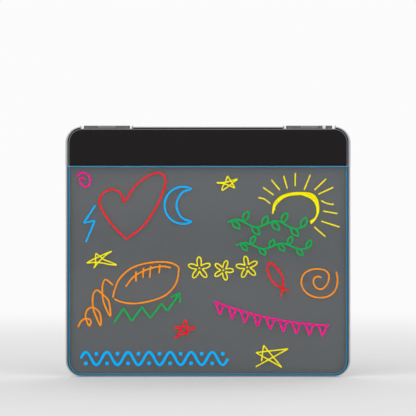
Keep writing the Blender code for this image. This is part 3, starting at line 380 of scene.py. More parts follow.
def widened(flat, share=1.0):
    """Places on the header's trim, moved inwards at its sides: beyond the corners' centres x goes by
    SIDE_EXTRA times the share, in proportion to how far out it is."""
    flat = np.array(flat, float)
    out = np.clip((np.abs(flat[..., 0]) - HALF + CORNER) / (CORNER - COVER_INSET), 0, 1)
    flat[..., 0] -= np.sign(flat[..., 0]) * SIDE_EXTRA * out * share
    return flat


def settled(flat, drop):
    """Places on the front's lower part, moved down near the bottom edge: below the corners' centres
    z goes by the drop, in proportion to how far below them it is."""
    flat = np.array(flat, float)
    flat[..., 1] -= drop * np.clip((CORNER - flat[..., 1]) / CORNER, 0, 1)
    return flat


def band_line(side):
    """The outer line of a corner band, clockwise: up the left side, or down the right one."""
    short = BAND_END_HALF + NOTCH_X - HALF + CORNER
    corner = arc((-HALF + CORNER, TOP - CORNER), CORNER, 180, 90 + math.degrees(math.asin(short / CORNER)))
    line = np.vstack([[(-HALF, HEADER_BOTTOM)], corner])
    return line if side < 0 else mirrored(line)


# Surfaces


def cell_quads(rows, columns):
    """The four corners of each cell between rings of points, row by row."""
    row, column = np.meshgrid(np.arange(rows - 1) * columns, np.arange(columns), indexing="ij")
    ahead = (column + 1) % columns
    corners = (row + column, row + columns + column, row + columns + ahead, row + ahead)
    return np.stack(corners, axis=-1).reshape(-1, 4)


def cell_uv(u, v):
    """The texture place of each cell's corners, from the run along rows and round columns."""
    low_u, low_v = np.meshgrid(u[:-1], v[:-1], indexing="ij")
    high_u, high_v = np.meshgrid(u[1:], v[1:], indexing="ij")
    corners = ((low_u, low_v), (high_u, low_v), (high_u, high_v), (low_u, high_v))
    return np.stack([np.stack(pair, axis=-1) for pair in corners], axis=2).reshape(-1, 2)


def surface(grid, capped=True):
    """A closed shell from a grid of rings of points, with a cap on its first and last ring."""
    grid = np.asarray(grid, float)
    rows, columns = grid.shape[:2]
    quads = cell_quads(rows, columns)
    widest = grid[rows // 2]
    uv = cell_uv(along(grid[:, 0]), along(np.vstack([widest, widest[:1]])))
    ring = np.arange(columns)
    caps = [ring, (rows - 1) * columns + ring[::-1]] if capped else []
    return {"points": grid.reshape(-1, 3), "quads": quads, "caps": caps, "uv": uv}


def spread(flat, depth, axis):
    """Points of a flat outline at a depth along an axis, in board millimetres."""
    flat = np.asarray(flat, float)
    depth = np.broadcast_to(np.asarray(depth, float), flat.shape[:-1])
    return np.insert(flat, "xyz".index(axis), depth, axis=-1)


def rim_steps(radius, steps=5, power=2.0):
    """Inset and depth of an edge that follows |u|^power + |v|^power = 1: a quarter circle at 2, and
    a bevel with soft ends nearer to 1. It runs from the face to the side."""
    angle = np.radians(np.linspace(90, 0, steps + 1))
    away = radius * (1 - np.cos(angle) ** (2 / power))
    down = radius * (1 - np.sin(angle) ** (2 / power))
    return np.stack([away, down], axis=1)


def slab(outline, front, back, radius, axis="y", steps=4):
    """An outline between two depths with rounded edges: rings inset by u at depth v from each face."""
    rim = rim_steps(radius, steps)
    rings = [spread(inset(outline, away), front + down, axis) for away, down in rim]
    rings += [spread(inset(outline, away), back - down, axis) for away, down in rim[::-1]]
    return surface(rings)


def carried(line, section, end_round=0.2, finish=0, moved=None):
    """A section of (distance inwards, depth) carried along a clockwise line in the board's plane:
    the point is line + distance (m + n) / (1 + m.n), with the normals m and n of its two edges.
    The section shrinks by end_round at each end, and the moved function can shift its points."""
    line = np.asarray(line, float)
    edge = np.diff(line, axis=0)
    edge /= np.linalg.norm(edge, axis=1, keepdims=True)
    near_start = line[0] + edge[0] * end_round
    near_end = line[-1] - edge[-1] * end_round
    line = np.vstack([line[:1], [near_start], line[1:-1], [near_end], line[-1:]])
    edge = np.vstack([edge[:1], edge[:1], edge, edge[-1:], edge[-1:]])
    normal = np.stack([edge[:, 1], -edge[:, 0]], axis=1)
    before, after = normal[:-1], normal[1:]
    side = (before + after) / (1 + np.sum(before * after, axis=1, keepdims=True))
    section = np.asarray(section, float)
    small = inset(section, end_round)
    sections = np.stack([small, *[section] * (len(line) - 2), small])
    flat = line[:, None] + side[:, None] * sections[..., :1]
    if moved:
        flat = moved(flat, sections[..., 0], sections[..., 1])
    return {**surface(spread(flat, sections[..., 1], "y")), "finish": finish}


def turned(profile, place, axis, sides=48):
    """A profile of (radius, height) turned about an axis: place + r (cos a, sin a) across it and
    the height along it. Points on the axis become poles."""
    profile = np.asarray(profile, float)
    flat = profile[:, :1, None] * heading(np.linspace(0, 2 * np.pi, sides, endpoint=False))
    height = np.broadcast_to(profile[:, 1:], flat.shape[:2])
    return surface(spread(flat, height, axis) + np.asarray(place, float), capped=False)


def rod(radius, place, low, high, axis, sides=48, round_by=0.2):
    """A round bar or cutter between two heights on an axis."""
    profile = [(0, low), (radius - round_by, low), (radius, low + round_by),
               (radius, high - round_by), (radius - round_by, high), (0, high)]
    return turned(profile, place, axis, sides)


def block(x, half, depths, heights, radius):
    """A box with rounded edges whose middle is at x, between two depths and two heights."""
    outline = oblong((x - half, heights[0]), (x + half, heights[1]), radius * 1.6, 3)
    return slab(outline, *depths, radius, steps=3)


def lead_hole(x, low, high, radius):
    """The space for the gland's tube, between two heights."""
    across, deep = GLAND_HOLE
    return block(x, across, (GLAND_Y - deep, GLAND_Y + deep), (low, high), radius)


def pin_hole(x):
    """The space for a hinge pin, through brackets and arm."""
    return rod(PIN_BORE, (x, HINGE_Y, HINGE_Z), -30, 30, "x")


def tray(outer, inner, face, floor, rim, bevel):
    """An open tray: a ring at the face, its bevel, the outer side down to the rim, the inner side up
    to the floor. The rim's depth is given for each point of the outline."""
    turn = 1 if floor > face else -1
    edge = rim_steps(bevel, 8, 1.25)
    rings = [spread(inset(outer, away), face + turn * down, "y") for away, down in edge]
    rings += [spread(outer, rim, "y"), spread(inner, rim, "y"), spread(inner, floor, "y")]
    return surface(rings)


def ink_line(line, width, height, seed=0.0):
    """A line of ink on the panel. Round the half ellipse of angle a its points are
    line + side (w/2) cos a, raised by height (w/width) sin a, where w rises from 0 at each end as a
    round cap does and wavers a little along the way."""
    line = np.asarray(line, float)
    run = along(line)
    radius = min(width / 2, run[-1] / 2)
    cap = radius * (1 - np.cos(np.radians(np.linspace(0, 90, 6))))
    middle = np.arange(radius, run[-1] - radius, 0.8)[1:]
    at = np.concatenate([cap, middle, run[-1] - cap[::-1]])
    ends = np.minimum(at, run[-1] - at)
    swell = 1 + 0.07 * np.sin(at / 2.9 + seed) + 0.04 * np.sin(at / 0.9 + 2 * seed)
    wide = width * swell * np.sqrt(np.clip(1 - (1 - np.clip(ends / radius, 0, 1)) ** 2, 0, 1))
    tangent = np.gradient(line, run, axis=0)
    place, tangent = (
        np.stack([np.interp(at, run, values[:, k]) for k in (0, 1)], axis=1) for values in (line, tangent)
    )
    tangent /= np.linalg.norm(tangent, axis=1, keepdims=True)
    side = np.stack([-tangent[:, 1], tangent[:, 0]], axis=1)
    angle = np.linspace(0, np.pi, 9)
    flat = place[:, None] + side[:, None] * (wide[:, None, None] / 2) * np.cos(angle)[None, :, None]
    rise = height * (wide / width)[:, None] * np.sin(angle)[None, :]
    return surface(spread(flat, FACE_Y - 0.01 - rise, "y"), capped=False)


def ink_dot(place, radius, height):
    """A dot of ink: at share s of its radius it stands height (1 - s^4) above the panel."""
    share = np.linspace(0, 1, 7)
    rise = np.append(height * (1 - share ** 4), 0)
    profile = np.stack([np.append(radius * share, 0), FACE_Y - 0.01 - rise], axis=1)
    return turned(profile, (place[0], 0, place[1]), "y", 24)


# Meshes


def mesh_of(name, parts):
    """One mesh of several shells, in metres in the frame, welded and with its faces outwards."""
    points = np.vstack([part["points"] for part in parts])
    starts = np.cumsum([0] + [len(part["points"]) for part in parts[:-1]])
    quads = np.vstack([part["quads"] + start for part, start in zip(parts, starts)])
    caps = [cap + start for part, start in zip(parts, starts) for cap in part["caps"]]
    corners = np.concatenate([quads.ravel(), *caps]).astype(np.int32)
    totals = np.array([4] * len(quads) + [len(cap) for cap in caps])
    mesh = bpy.data.meshes.new(name)
    mesh.vertices.add(len(points))
    mesh.vertices.foreach_set("co", (points * MM + ORIGIN).ravel())
    mesh.loops.add(len(corners))
    mesh.loops.foreach_set("vertex_index", corners)
    mesh.polygons.add(len(totals))
    mesh.polygons.foreach_set("loop_start", np.concatenate([[0], np.cumsum(totals)[:-1]]).astype(np.int32))
    mesh.update(calc_edges=True)
    finish = [np.full(len(part["quads"]), part.get("finish", 0)) for part in parts]
    finish += [np.full(len(part["caps"]), part.get("finish", 0)) for part in parts]
    mesh.polygons.foreach_set("material_index", np.concatenate(finish).astype(np.int32))
    flat = points[np.concatenate([[], *caps]).astype(int)][:, (0, 2)]
    uv = np.vstack([part["uv"] for part in parts] + [flat]) * MM
    mesh.uv_layers.new(name="UVMap").data.foreach_set("uv", uv.ravel())
    mesh.validate()
    return tidied(mesh)


def tidied(mesh):
    """Weld coincident points and turn every face outwards."""
    shape = bmesh.new()
    shape.from_mesh(mesh)
    bmesh.ops.remove_doubles(shape, verts=shape.verts, dist=2e-6)
    bmesh.ops.dissolve_degenerate(shape, dist=1e-7, edges=shape.edges)
    bmesh.ops.recalc_face_normals(shape, faces=shape.faces)
    shape.to_mesh(mesh)
    shape.free()
    return mesh


def placed(name, content):
    """A new object in the scene that holds a mesh, a lamp or a camera."""
    item = bpy.data.objects.new(name, content)
    bpy.context.scene.collection.objects.link(item)
    return item


def combined(mesh, tool, operation):
    """The mesh that is left when one closed mesh is joined to another, or cut by it."""
    shape, other = placed("shape", mesh), placed("tool", tool)
    boolean = shape.modifiers.new("combine", "BOOLEAN")
    boolean.object = other
    boolean.operation = operation
    boolean.solver = "MANIFOLD"
    bpy.context.view_layer.update()
    graph = bpy.context.evaluated_depsgraph_get()
    result = bpy.data.meshes.new_from_object(shape.evaluated_get(graph))
    result.materials.clear()
    if not len(result.polygons):
        raise RuntimeError(f"combining {mesh.name} with {tool.name} left nothing")
    for item in (shape, other):
        bpy.data.objects.remove(item)
    return result


def joined(name, parts):
    """Closed shells made into one solid."""
    mesh = mesh_of(name, parts[:1])
    for part in parts[1:]:
        mesh = combined(mesh, mesh_of(name + "_more", [part]), "UNION")
    return mesh


def cut(mesh, parts):
    """A solid with the space of separate closed shells taken out."""
    return combined(mesh, mesh_of(mesh.name + "_cut", parts), "DIFFERENCE")


def faces_of(mesh):
    """How far each face looks towards the back, from -1 to 1, and its middle in board millimetres."""
    normal = np.zeros(len(mesh.polygons) * 3)
    middle = np.zeros(len(mesh.polygons) * 3)
    mesh.polygons.foreach_get("normal", normal)
    mesh.polygons.foreach_get("center", middle)
    return normal.reshape(-1, 3)[:, 1], (middle.reshape(-1, 3) - ORIGIN) / MM


def piece(name, mesh, finishes, body="board", stands_for=(), sharp=32):
    """Shade a finished mesh, give it its materials, and hang it on its body."""
    mesh.name = name
    mesh.shade_smooth()
    mesh.set_sharp_from_angle(angle=math.radians(sharp))
    for finish in finishes:
        mesh.materials.append(finish)
    item = placed(name, mesh)
    evened = item.modifiers.new("even_shading", "WEIGHTED_NORMAL")
    evened.keep_sharp = True
    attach(item, body)
    if stands_for:
        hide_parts(*stands_for)
    return item


# Materials


def node(tree, kind, inputs=(), **settings):
    """Add a node, set it up, and link or set its sockets."""
    item = tree.nodes.new(kind)
    for key, value in settings.items():
        setattr(item, key, value)
    for key, value in dict(inputs).items():
        if isinstance(value, bpy.types.NodeSocket):
            tree.links.new(value, item.inputs[key])
        else:
            item.inputs[key].default_value = value
    return item


def coordinates(tree, source="Object"):
    """The places that a pattern is laid by."""
    return node(tree, "ShaderNodeTexCoord").outputs[source]


def calculated(tree, operation, first, second, clamp=False):
    """The outcome of one step of arithmetic."""
    values = {0: first, 1: second}
    return node(tree, "ShaderNodeMath", values, operation=operation, use_clamp=clamp).outputs[0]


def between(tree, factor, low, high):
    """A colour that runs from low to high as the factor goes from 0 to 1."""
    sockets = {"Factor": factor, 6: (*low, 1), 7: (*high, 1)}
    return node(tree, "ShaderNodeMix", sockets, data_type="RGBA").outputs[2]


def shades(tree, factor, base, low, high):
    """A colour that runs between two shares of a base colour as the factor goes from 0 to 1."""
    return between(tree, factor, *[[min(1, c * share) for c in base] for share in (low, high)])


def ranged(tree, value, low, high):
    """A value from 0 to 1 mapped on to a new range."""
    sockets = {"Value": value, "To Min": low, "To Max": high}
    return node(tree, "ShaderNodeMapRange", sockets).outputs["Result"]


def noise(tree, vector, size, detail=2.0, rough=0.5):
    """Noise whose features are about the given size in millimetres."""
    sockets = {"Vector": vector, "Scale": 1 / (size * MM), "Detail": detail, "Roughness": rough}
    return node(tree, "ShaderNodeTexNoise", sockets).outputs["Fac"]


def stretched(tree, vector, shares):
    """Coordinates squeezed along each axis by its share."""
    return node(tree, "ShaderNodeMapping", {"Vector": vector, "Scale": shares}).outputs["Vector"]


def bumped(tree, height, depth):
    """A normal for relief of the given depth in millimetres."""
    sockets = {"Height": height, "Strength": 0.5, "Distance": depth * MM}
    return node(tree, "ShaderNodeBump", sockets).outputs["Normal"]


def material(name, make, *values, **more):
    """A material made once and found again by its name. The make function gives the colour that a
    plain view shows, and the shader of the surface."""
    label = name + "_finish"
    if label not in bpy.data.materials:
        item = bpy.data.materials.new(label)
        item.use_nodes = True
        tree = item.node_tree
        tree.nodes.clear()
        seen_as, shader = make(tree, *values, **more)
        item.diffuse_color = (*seen_as, 1)
        node(tree, "ShaderNodeOutputMaterial", {"Surface": shader.outputs[0]})
    return bpy.data.materials[label]


def moulded(tree, base, roughness, grain, relief, specular=0.5, spread_by=0.08):
    """Moulded plastic: fine grain in relief, faint cloudy shade, and slightly uneven gloss."""
    place = coordinates(tree)
    fine = noise(tree, place, grain, 3, 0.6)
    cloud = noise(tree, place, 22, 3)
    return base, node(tree, "ShaderNodeBsdfPrincipled", {
        "Base Color": shades(tree, cloud, base, 1 - spread_by, 1 + spread_by),
        "Roughness": ranged(tree, fine, roughness - 0.06, roughness + 0.08),
        "Specular IOR Level": specular,
        "Normal": bumped(tree, fine, relief),
    })


def brushed(tree, base, roughness, source="UV", lines=(0.02, 1, 1)):
    """Satin metal with fine drawn lines, which on a trim run along it."""
    place = coordinates(tree, source)
    drawn = noise(tree, stretched(tree, place, lines), 0.25, 3, 0.6)
    cloud = noise(tree, place, 30, 2)
    return base, node(tree, "ShaderNodeBsdfPrincipled", {
        "Base Color": shades(tree, drawn, base, 0.86, 1.1),
        "Metallic": 1.0,
        "Roughness": ranged(tree, cloud, roughness - 0.05, roughness + 0.07),
        "Normal": bumped(tree, drawn, 0.01),
    })


def clear_panel(tree):
    """Clear acrylic as a film: it mirrors by its Fresnel share, and faint wipe marks catch light."""
    wiped = noise(tree, stretched(tree, coordinates(tree), (1, 1, 0.25)), 9, 4, 0.7)
    gloss = {"Color": (1, 1, 1, 1), "Roughness": ranged(tree, wiped, 0.02, 0.12)}
    mirror = node(tree, "ShaderNodeBsdfGlossy", gloss)
    through = node(tree, "ShaderNodeBsdfTransparent", {"Color": (0.97, 0.985, 0.99, 1)})
    share = node(tree, "ShaderNodeFresnel", {"IOR": 1.49}).outputs[0]
    inside = node(tree, "ShaderNodeNewGeometry").outputs["Backfacing"]
    share = calculated(tree, "MULTIPLY", share, calculated(tree, "SUBTRACT", 1.0, inside))
    mix = {0: share, 1: through.outputs[0], 2: mirror.outputs[0]}
    return (0.8, 0.85, 0.88), node(tree, "ShaderNodeMixShader", mix)


def glowing_bevel(tree, high, low):
    """The panel's bevel, lit from inside: the mark called glow gives how near the lamps it is."""
    mark = node(tree, "ShaderNodeAttribute", attribute_name="glow").outputs["Fac"]
    waver = ranged(tree, noise(tree, coordinates(tree), 14, 2), 0.9, 1.1)
    level = calculated(tree, "MULTIPLY", mark, waver, clamp=True)
    return high, node(tree, "ShaderNodeBsdfPrincipled", {
        "Base Color": (*[c * 0.15 for c in low], 1),
        "Roughness": 0.25,
        "Specular IOR Level": 0.1,
        "Emission Color": between(tree, level, low, high),
        "Emission Strength": 0.95,
    })


def neon_ink(tree, base, glow):
    """Neon ink: streaks run along the line, and part of its colour is given off as light."""
    streak = noise(tree, stretched(tree, coordinates(tree, "UV"), (0.12, 1, 1)), 0.5, 2)
    return base, node(tree, "ShaderNodeBsdfPrincipled", {
        "Base Color": shades(tree, streak, base, 0.8 * (1 - glow), 1.2 * (1 - glow)),
        "Roughness": ranged(tree, streak, 0.35, 0.5),
        "Specular IOR Level": 0.03,
        "Emission Color": shades(tree, streak, base, 0.88, 1.0),
        "Emission Strength": glow,
    })


def clear_vinyl(tree, base):
    """Soft clear vinyl: mostly see-through, milky where it is seen edge-on, and glossy outside."""
    haze = noise(tree, coordinates(tree), 6, 3)
    facing = node(tree, "ShaderNodeLayerWeight", {"Blend": 0.35}).outputs["Facing"]
    body = node(tree, "ShaderNodeBsdfPrincipled", {
        "Base Color": shades(tree, haze, base, 0.92, 1.0),
        "Roughness": ranged(tree, haze, 0.1, 0.2),
        "Specular IOR Level": 0.8,
        "Subsurface Weight": 0.4,
        "Subsurface Scale": 3 * MM,
    })
    through = node(tree, "ShaderNodeBsdfTransparent", {"Color": (0.93, 0.96, 0.97, 1)})
    mix = {0: ranged(tree, facing, 0.12, 0.85), 1: through.outputs[0], 2: body.outputs[0]}
    return base, node(tree, "ShaderNodeMixShader", mix)


def circuit(tree):
    """Green circuit board with pale copper tracks under its lacquer."""
    place = coordinates(tree)
    tracks = node(tree, "ShaderNodeTexBrick", {
        "Vector": stretched(tree, place, (700, 700, 700)),
        "Mortar Size": 0.03,
        "Color1": (0.02, 0.14, 0.05, 1),
        "Color2": (0.016, 0.12, 0.045, 1),
        "Mortar": (0.07, 0.25, 0.09, 1),
    })
    fine = noise(tree, place, 0.6, 2)
    return (0.02, 0.16, 0.06), node(tree, "ShaderNodeBsdfPrincipled", {
        "Base Color": tracks.outputs["Color"],
        "Roughness": ranged(tree, fine, 0.3, 0.45),
        "Normal": bumped(tree, fine, 0.01),
    })


def pale_floor(tree):
    """A matt pale floor that far out turns, for the camera alone, into the room's white."""
    place = coordinates(tree)
    far = node(tree, "ShaderNodeVectorMath", {0: place}, operation="LENGTH").outputs["Value"]
    reach = {"Value": far, "From Min": 0.45, "From Max": 1.6}
    fade = node(tree, "ShaderNodeMapRange", reach, interpolation_type="SMOOTHSTEP").outputs["Result"]
    seen = node(tree, "ShaderNodeLightPath").outputs["Is Camera Ray"]
    pale = shades(tree, noise(tree, place, 40, 2), (0.96,) * 3, 0.98, 1.01)
    matt = node(tree, "ShaderNodeBsdfDiffuse", {"Color": pale})
    white = node(tree, "ShaderNodeEmission", {"Color": (0.97, 0.97, 0.97, 1), "Strength": 1.0})
    mix = {0: calculated(tree, "MULTIPLY", fade, seen), 1: matt.outputs[0], 2: white.outputs[0]}
    return (0.9, 0.9, 0.9), node(tree, "ShaderNodeMixShader", mix)


def silver_trim(scene):
    """The finish that the bands and the edging share."""
    return material("silver_trim", brushed, scene.board_finishes.trim, 0.3)


def plain_metal(name, code, roughness, lines=(1, 1, 1)):
    """The finish of a metal piece, by its colour code."""
    return material(name, brushed, linear(code), roughness, "Object", lines)


def dress(node_name, finish):
    """Give a node of the frame its material, and leave its shape alone."""
    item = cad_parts[node_name]
    item.data.materials.clear()
    item.data.materials.append(finish)


# Operators


class BoardOperator(bpy.types.Operator):
    """What the operators share."""

    bl_options = {"REGISTER", "UNDO"}

    def execute(self, context):
        """Build the pieces from the scene's settings."""
        self.build(context.scene)
        return {"FINISHED"}


class HeaderOperator(BoardOperator):
    """Front and rear header covers: thin trays with a soft bevel, notches, seats and screw wells"""

    bl_idname = "writing_board.header"
    bl_label = "Header covers"

    def build(self, scene):
        """Two trays about the same outline, cut for the hinge feet, the gland and the screws."""
        bevel = scene.board_shapes.cover_bevel / MM
        colours = scene.board_finishes
        black = material("black_moulding", moulded, colours.header, 0.48, 0.7, 0.08, 0.12, 0.22)
        # The bevel's lighter grey is a painted highlight; its lower roughness is real gloss.
        painted_highlight = material("black_bevel", moulded, colours.bevel, 0.3, 0.5, 0.01, specular=0.3)
        seat = cover_outline(NOTCH_SEAT)
        inner = inset(seat, COVER_WALL)
        rim = np.where(seat[:, 1] == NOTCH_SEAT, FLOOR_TAB, -PARTING)
        rim[GATE] = -SLOT
        whole = cover_outline(COVER_TOP - 0.01)
        shell = tray(whole, inner, -COVER_FACE, COVER_WALL - COVER_FACE, rim, bevel)
        depths = (LIP - COVER_FACE, PARTING + 0.4)
        pockets = [block(x, NOTCH_HALF, depths, (NOTCH_SEAT, TOP + 4), 0.05) for x in NOTCHES.values()]
        front = cut(mesh_of("front_cover_shell", [shell]), pockets)
        front = cut(front, [lead_hole(GLAND_X, NOTCH_SEAT - 4, TOP, 0.2)])
        self.mark_painted_highlight(front)
        piece("front_cover_shell", front, [black, painted_highlight], stands_for=["front_cover"])
        rim = np.full(len(seat), PARTING)
        rim[GATE] = SLOT
        shell = tray(seat, inner, COVER_FACE, COVER_FACE - COVER_WALL, rim, bevel)
        spots = [(x, 0, COVER_SCREW_Z) for x in COVER_SCREWS]
        posts = [rod(POST, spot, POST_END, COVER_FACE - 0.6, "y") for spot in spots]
        well = [(0, WELL_FLOOR), (WELL, WELL_FLOOR), (WELL, COVER_FACE - 0.3),
                (WELL_MOUTH, COVER_FACE + 0.3), (WELL_MOUTH, COVER_FACE + 2), (0, COVER_FACE + 2)]
        rear = combined(mesh_of("rear_cover_shell", [shell]), mesh_of("posts", posts), "UNION")
        rear = cut(rear, [turned(well, spot, "y") for spot in spots])
        rear = cut(rear, [rod(SCREW_BORE, spot, 0, COVER_FACE + 1, "y") for spot in spots])
        piece("rear_cover_shell", rear, [black], stands_for=["rear_cover"])

    def mark_painted_highlight(self, mesh):
        """Give the faces that slope between the front and the side the painted highlight: a lighter grey
        with real gloss.
        """
        slope, middle = faces_of(mesh)
        sloped = (slope < -0.2) & (slope > -0.97) & (middle[:, 1] < BEVEL_REACH - COVER_FACE)
        sloped &= middle[:, 2] > HEADER_BOTTOM + 1.5
        mesh.polygons.foreach_set("material_index", sloped.astype(np.int32))


class BandOperator(BoardOperator):
    """Silver bands round the header's corners and along its top"""

    bl_idname = "writing_board.bands"
    bl_label = "Silver bands"

    def build(self, scene):
        """A soft strip carried along each line, with the rib that the covers hold. A lip that leans
        away from the notch closes each end beside one."""
        radius = scene.board_shapes.trim_round / MM
        # Painted shade: the rib is seen as the floor of the groove between band and cover, so it gets a
        # near-black colour instead of the band's silver.
        dark = material("band_rib", moulded, linear("1C1B1C"), 0.6, 0.5, 0.02, specular=0.1)
        strip = oblong((0, -BAND_HALF_DEPTH), (BAND, BAND_HALF_DEPTH), radius)
        rib = [(RIB_START, -RIB), (RIB_REACH, -RIB), (RIB_REACH, RIB), (RIB_START, RIB)]
        lines = {"band_left": band_line(-1), "band_right": band_line(1)}
        ribs = {"band_left": lines["band_left"][:-1], "band_right": lines["band_right"][1:]}
        end = NOTCH_X - BAND_END_HALF
        lines["band_centre"] = np.array([(-end, TOP), (end, TOP)])
        span = NOTCH_X - NOTCH_HALF - RIB_SETBACK
        ribs["band_centre"] = np.array([(-span, TOP), (0, TOP), (span, TOP)])
        away = softened(BAND_LIP, 0.35, 3)
        towards = mirrored(away)
        lips = {"band_left": [towards - (NOTCH_X, 0)], "band_right": [away + (NOTCH_X, 0)],
                "band_centre": [away - (NOTCH_X, 0), towards + (NOTCH_X, 0)]}
        for name, line in lines.items():
            parts = [carried(line, strip, moved=self.wider), carried(ribs[name], rib, 0.05, 1, self.wider)]
            parts += [slab(lip, BAND_LIP_FRONT, BAND_LIP_BACK, BAND_LIP_ROUND) for lip in lips[name]]
            mesh = mesh_of(name, parts)
            piece(name + "_trim", mesh, [silver_trim(scene), dark], stands_for=[name])

    def wider(self, flat, distance, depth):
        """The header's sides show more of the band: its inner face takes the whole extra width."""
        return widened(flat, np.clip(distance / BAND, 0, 1))


class PanelOperator(BoardOperator):
    """Clear writing panel with its glowing bevel, and the grey sheet behind it"""

    bl_idname = "writing_board.panel"
    bl_label = "Writing panel"

    def build(self, scene):
        """A stepped slab. Its bevel gets the glow, whose mark is the height as a share of SHOULDER,
        and its step gets a near-black colour as painted shade."""
        colours = scene.board_finishes
        clear = material("clear_acrylic", clear_panel)
        glow = material("edge_glow", glowing_bevel, colours.glow_high, colours.glow_low)
        # The step's near-black colour is painted shade in the gap beside the edging's lip.
        shade = material("groove_shade", moulded, colours.groove, 0.7, 0.5, 0.01, specular=0.1)
        lower = lower_outline(BASE_INSET, SHOULDER)
        tongue = np.array([(TONGUE_HALF, SHOULDER), (TONGUE_HALF, TONGUE_TOP)])
        base = np.vstack([lower[:-1], tongue, mirrored(tongue), lower[-1:]])
        face = lower_outline(FACE_INSET, SHOULDER)
        outer = settled(face, FACE_DROP)
        inner = settled(inset(face, PANEL_BEVEL), FACE_DROP)
        rings = ((inner, FACE_Y), (outer, FACE_Y + PANEL_BEVEL), (outer, BASE_Y + 1))
        raised = surface([spread(line, depth, "y") for line, depth in rings])
        mesh = joined("writing_panel", [slab(base, BASE_Y, PANEL_BACK, 0.05), raised])
        slope, middle = faces_of(mesh)
        bevel = (slope < -0.5) & (slope > -0.9)
        # Faces of the step get the painted shade.
        step = (slope < -0.9) & (abs(middle[:, 1] - BASE_Y) < 0.1) & (middle[:, 2] < SHOULDER)
        mesh.polygons.foreach_set("material_index", (bevel + 2 * step).astype(np.int32))
        place = np.zeros(len(mesh.vertices) * 3)
        mesh.vertices.foreach_get("co", place)
        height = (place[2::3] - ORIGIN[2]) / MM
        near = np.clip(height / SHOULDER, 0, 1)
        mesh.attributes.new("glow", "FLOAT", "POINT").data.foreach_set("value", near)
        piece("clear_panel", mesh, [clear, glow, shade], stands_for=["writing_panel"])
        dress("backing_sheet", material("grey_sheet", moulded, colours.sheet, 0.62, 0.3, 0.01, 0.2, 0.03))


class EdgingOperator(BoardOperator):
    """Silver channel round three sides of the panel"""

    bl_idname = "writing_board.edging"
    bl_label = "Silver edging"

    def build(self, scene):
        """A soft U section carried down one side, along the bottom and up the other side."""
        radius = scene.board_shapes.trim_round / MM
        deep, wall = EDGING_HALF_DEPTH, EDGING_WALL
        section = [(0, -deep), (FRONT_LIP, -deep), (FRONT_LIP, wall - deep), (wall, wall - deep),
                   (wall, deep - wall), (REAR_LIP, deep - wall), (REAR_LIP, deep), (0, deep)]
        setbacks = [radius, radius * 0.8, 0.2, 0.3, 0.3, 0.2, radius * 0.8, radius]
        line = np.roll(lower_outline(0, SHOULDER)[::-1], -1, axis=0)
        mesh = mesh_of("panel_edging", [carried(line, softened(section, setbacks), moved=self.lower)])
        piece("silver_edging", mesh, [silver_trim(scene)], stands_for=["panel_edging"])

    def lower(self, flat, distance, depth):
        """The front lip is narrower along the bottom edge than at the sides."""
        return settled(flat, LIP_DROP * np.clip(distance / FRONT_LIP, 0, 1) * (depth < 0))


class ScrewOperator(BoardOperator):
    """Cover screws in their wells and bracket screws on the hinge feet"""

    bl_idname = "writing_board.screws"
    bl_label = "Screws"

    def build(self, scene):
        """Dress the channel's screws, and make the others with their heads at their seats."""
        steel = plain_metal("screw_steel", "77787A", 0.32)
        dark = plain_metal("dark_screw", "6A6B6D", 0.42)
        for index, x in enumerate(COVER_SCREWS, 1):
            place = (x, COVER_SCREW_SEAT, COVER_SCREW_Z)
            self.screw(f"cover_screw_{index}", COVER_SCREW, place, "y", steel)
        spots = [x + end * BRACKET_SCREW_X for x in NOTCHES.values() for end in (-1, 1)]
        for index, x in enumerate(spots, 1):
            place = (x, BRACKET_SCREW_Y, BRACKET_SCREW_SEAT)
            self.screw(f"bracket_screw_{index}", BRACKET_SCREW, place, "z", dark)
        for index in range(1, 5):
            dress(f"channel_screw_{index}", steel)

    def screw(self, name, sizes, place, axis, finish):
        """One screw, with its head towards the positive end of the axis: a dome of height
        H (1 - 0.6 q^4) at share q of its radius, a pointed shank, and a cross recess."""
        head, shank, long = sizes
        share = np.linspace(0, 1, 9)
        dome = np.stack([head * share, SCREW_HEAD * (1 - 0.6 * share ** 4)], axis=1)
        stem = [(head, 0.12), (head - 0.12, 0), (shank, 0)]
        stem += [(shank, shank - long), (0.3 * shank, -long), (0, -long)]
        mesh = mesh_of(name, [turned(np.vstack([dome, stem]), place, axis, 40)])
        half = np.array((0.6 * head, 0.38))
        for arm in (half, half[::-1]):
            tool = slab(oblong(-arm, arm, 0.2, 3), SCREW_HEAD - CROSS_DEPTH, SCREW_HEAD + 1, 0.1, axis)
            tool["points"] += place
            mesh = cut(mesh, [tool])
        piece(name + "_head", mesh, [finish], stands_for=[name])


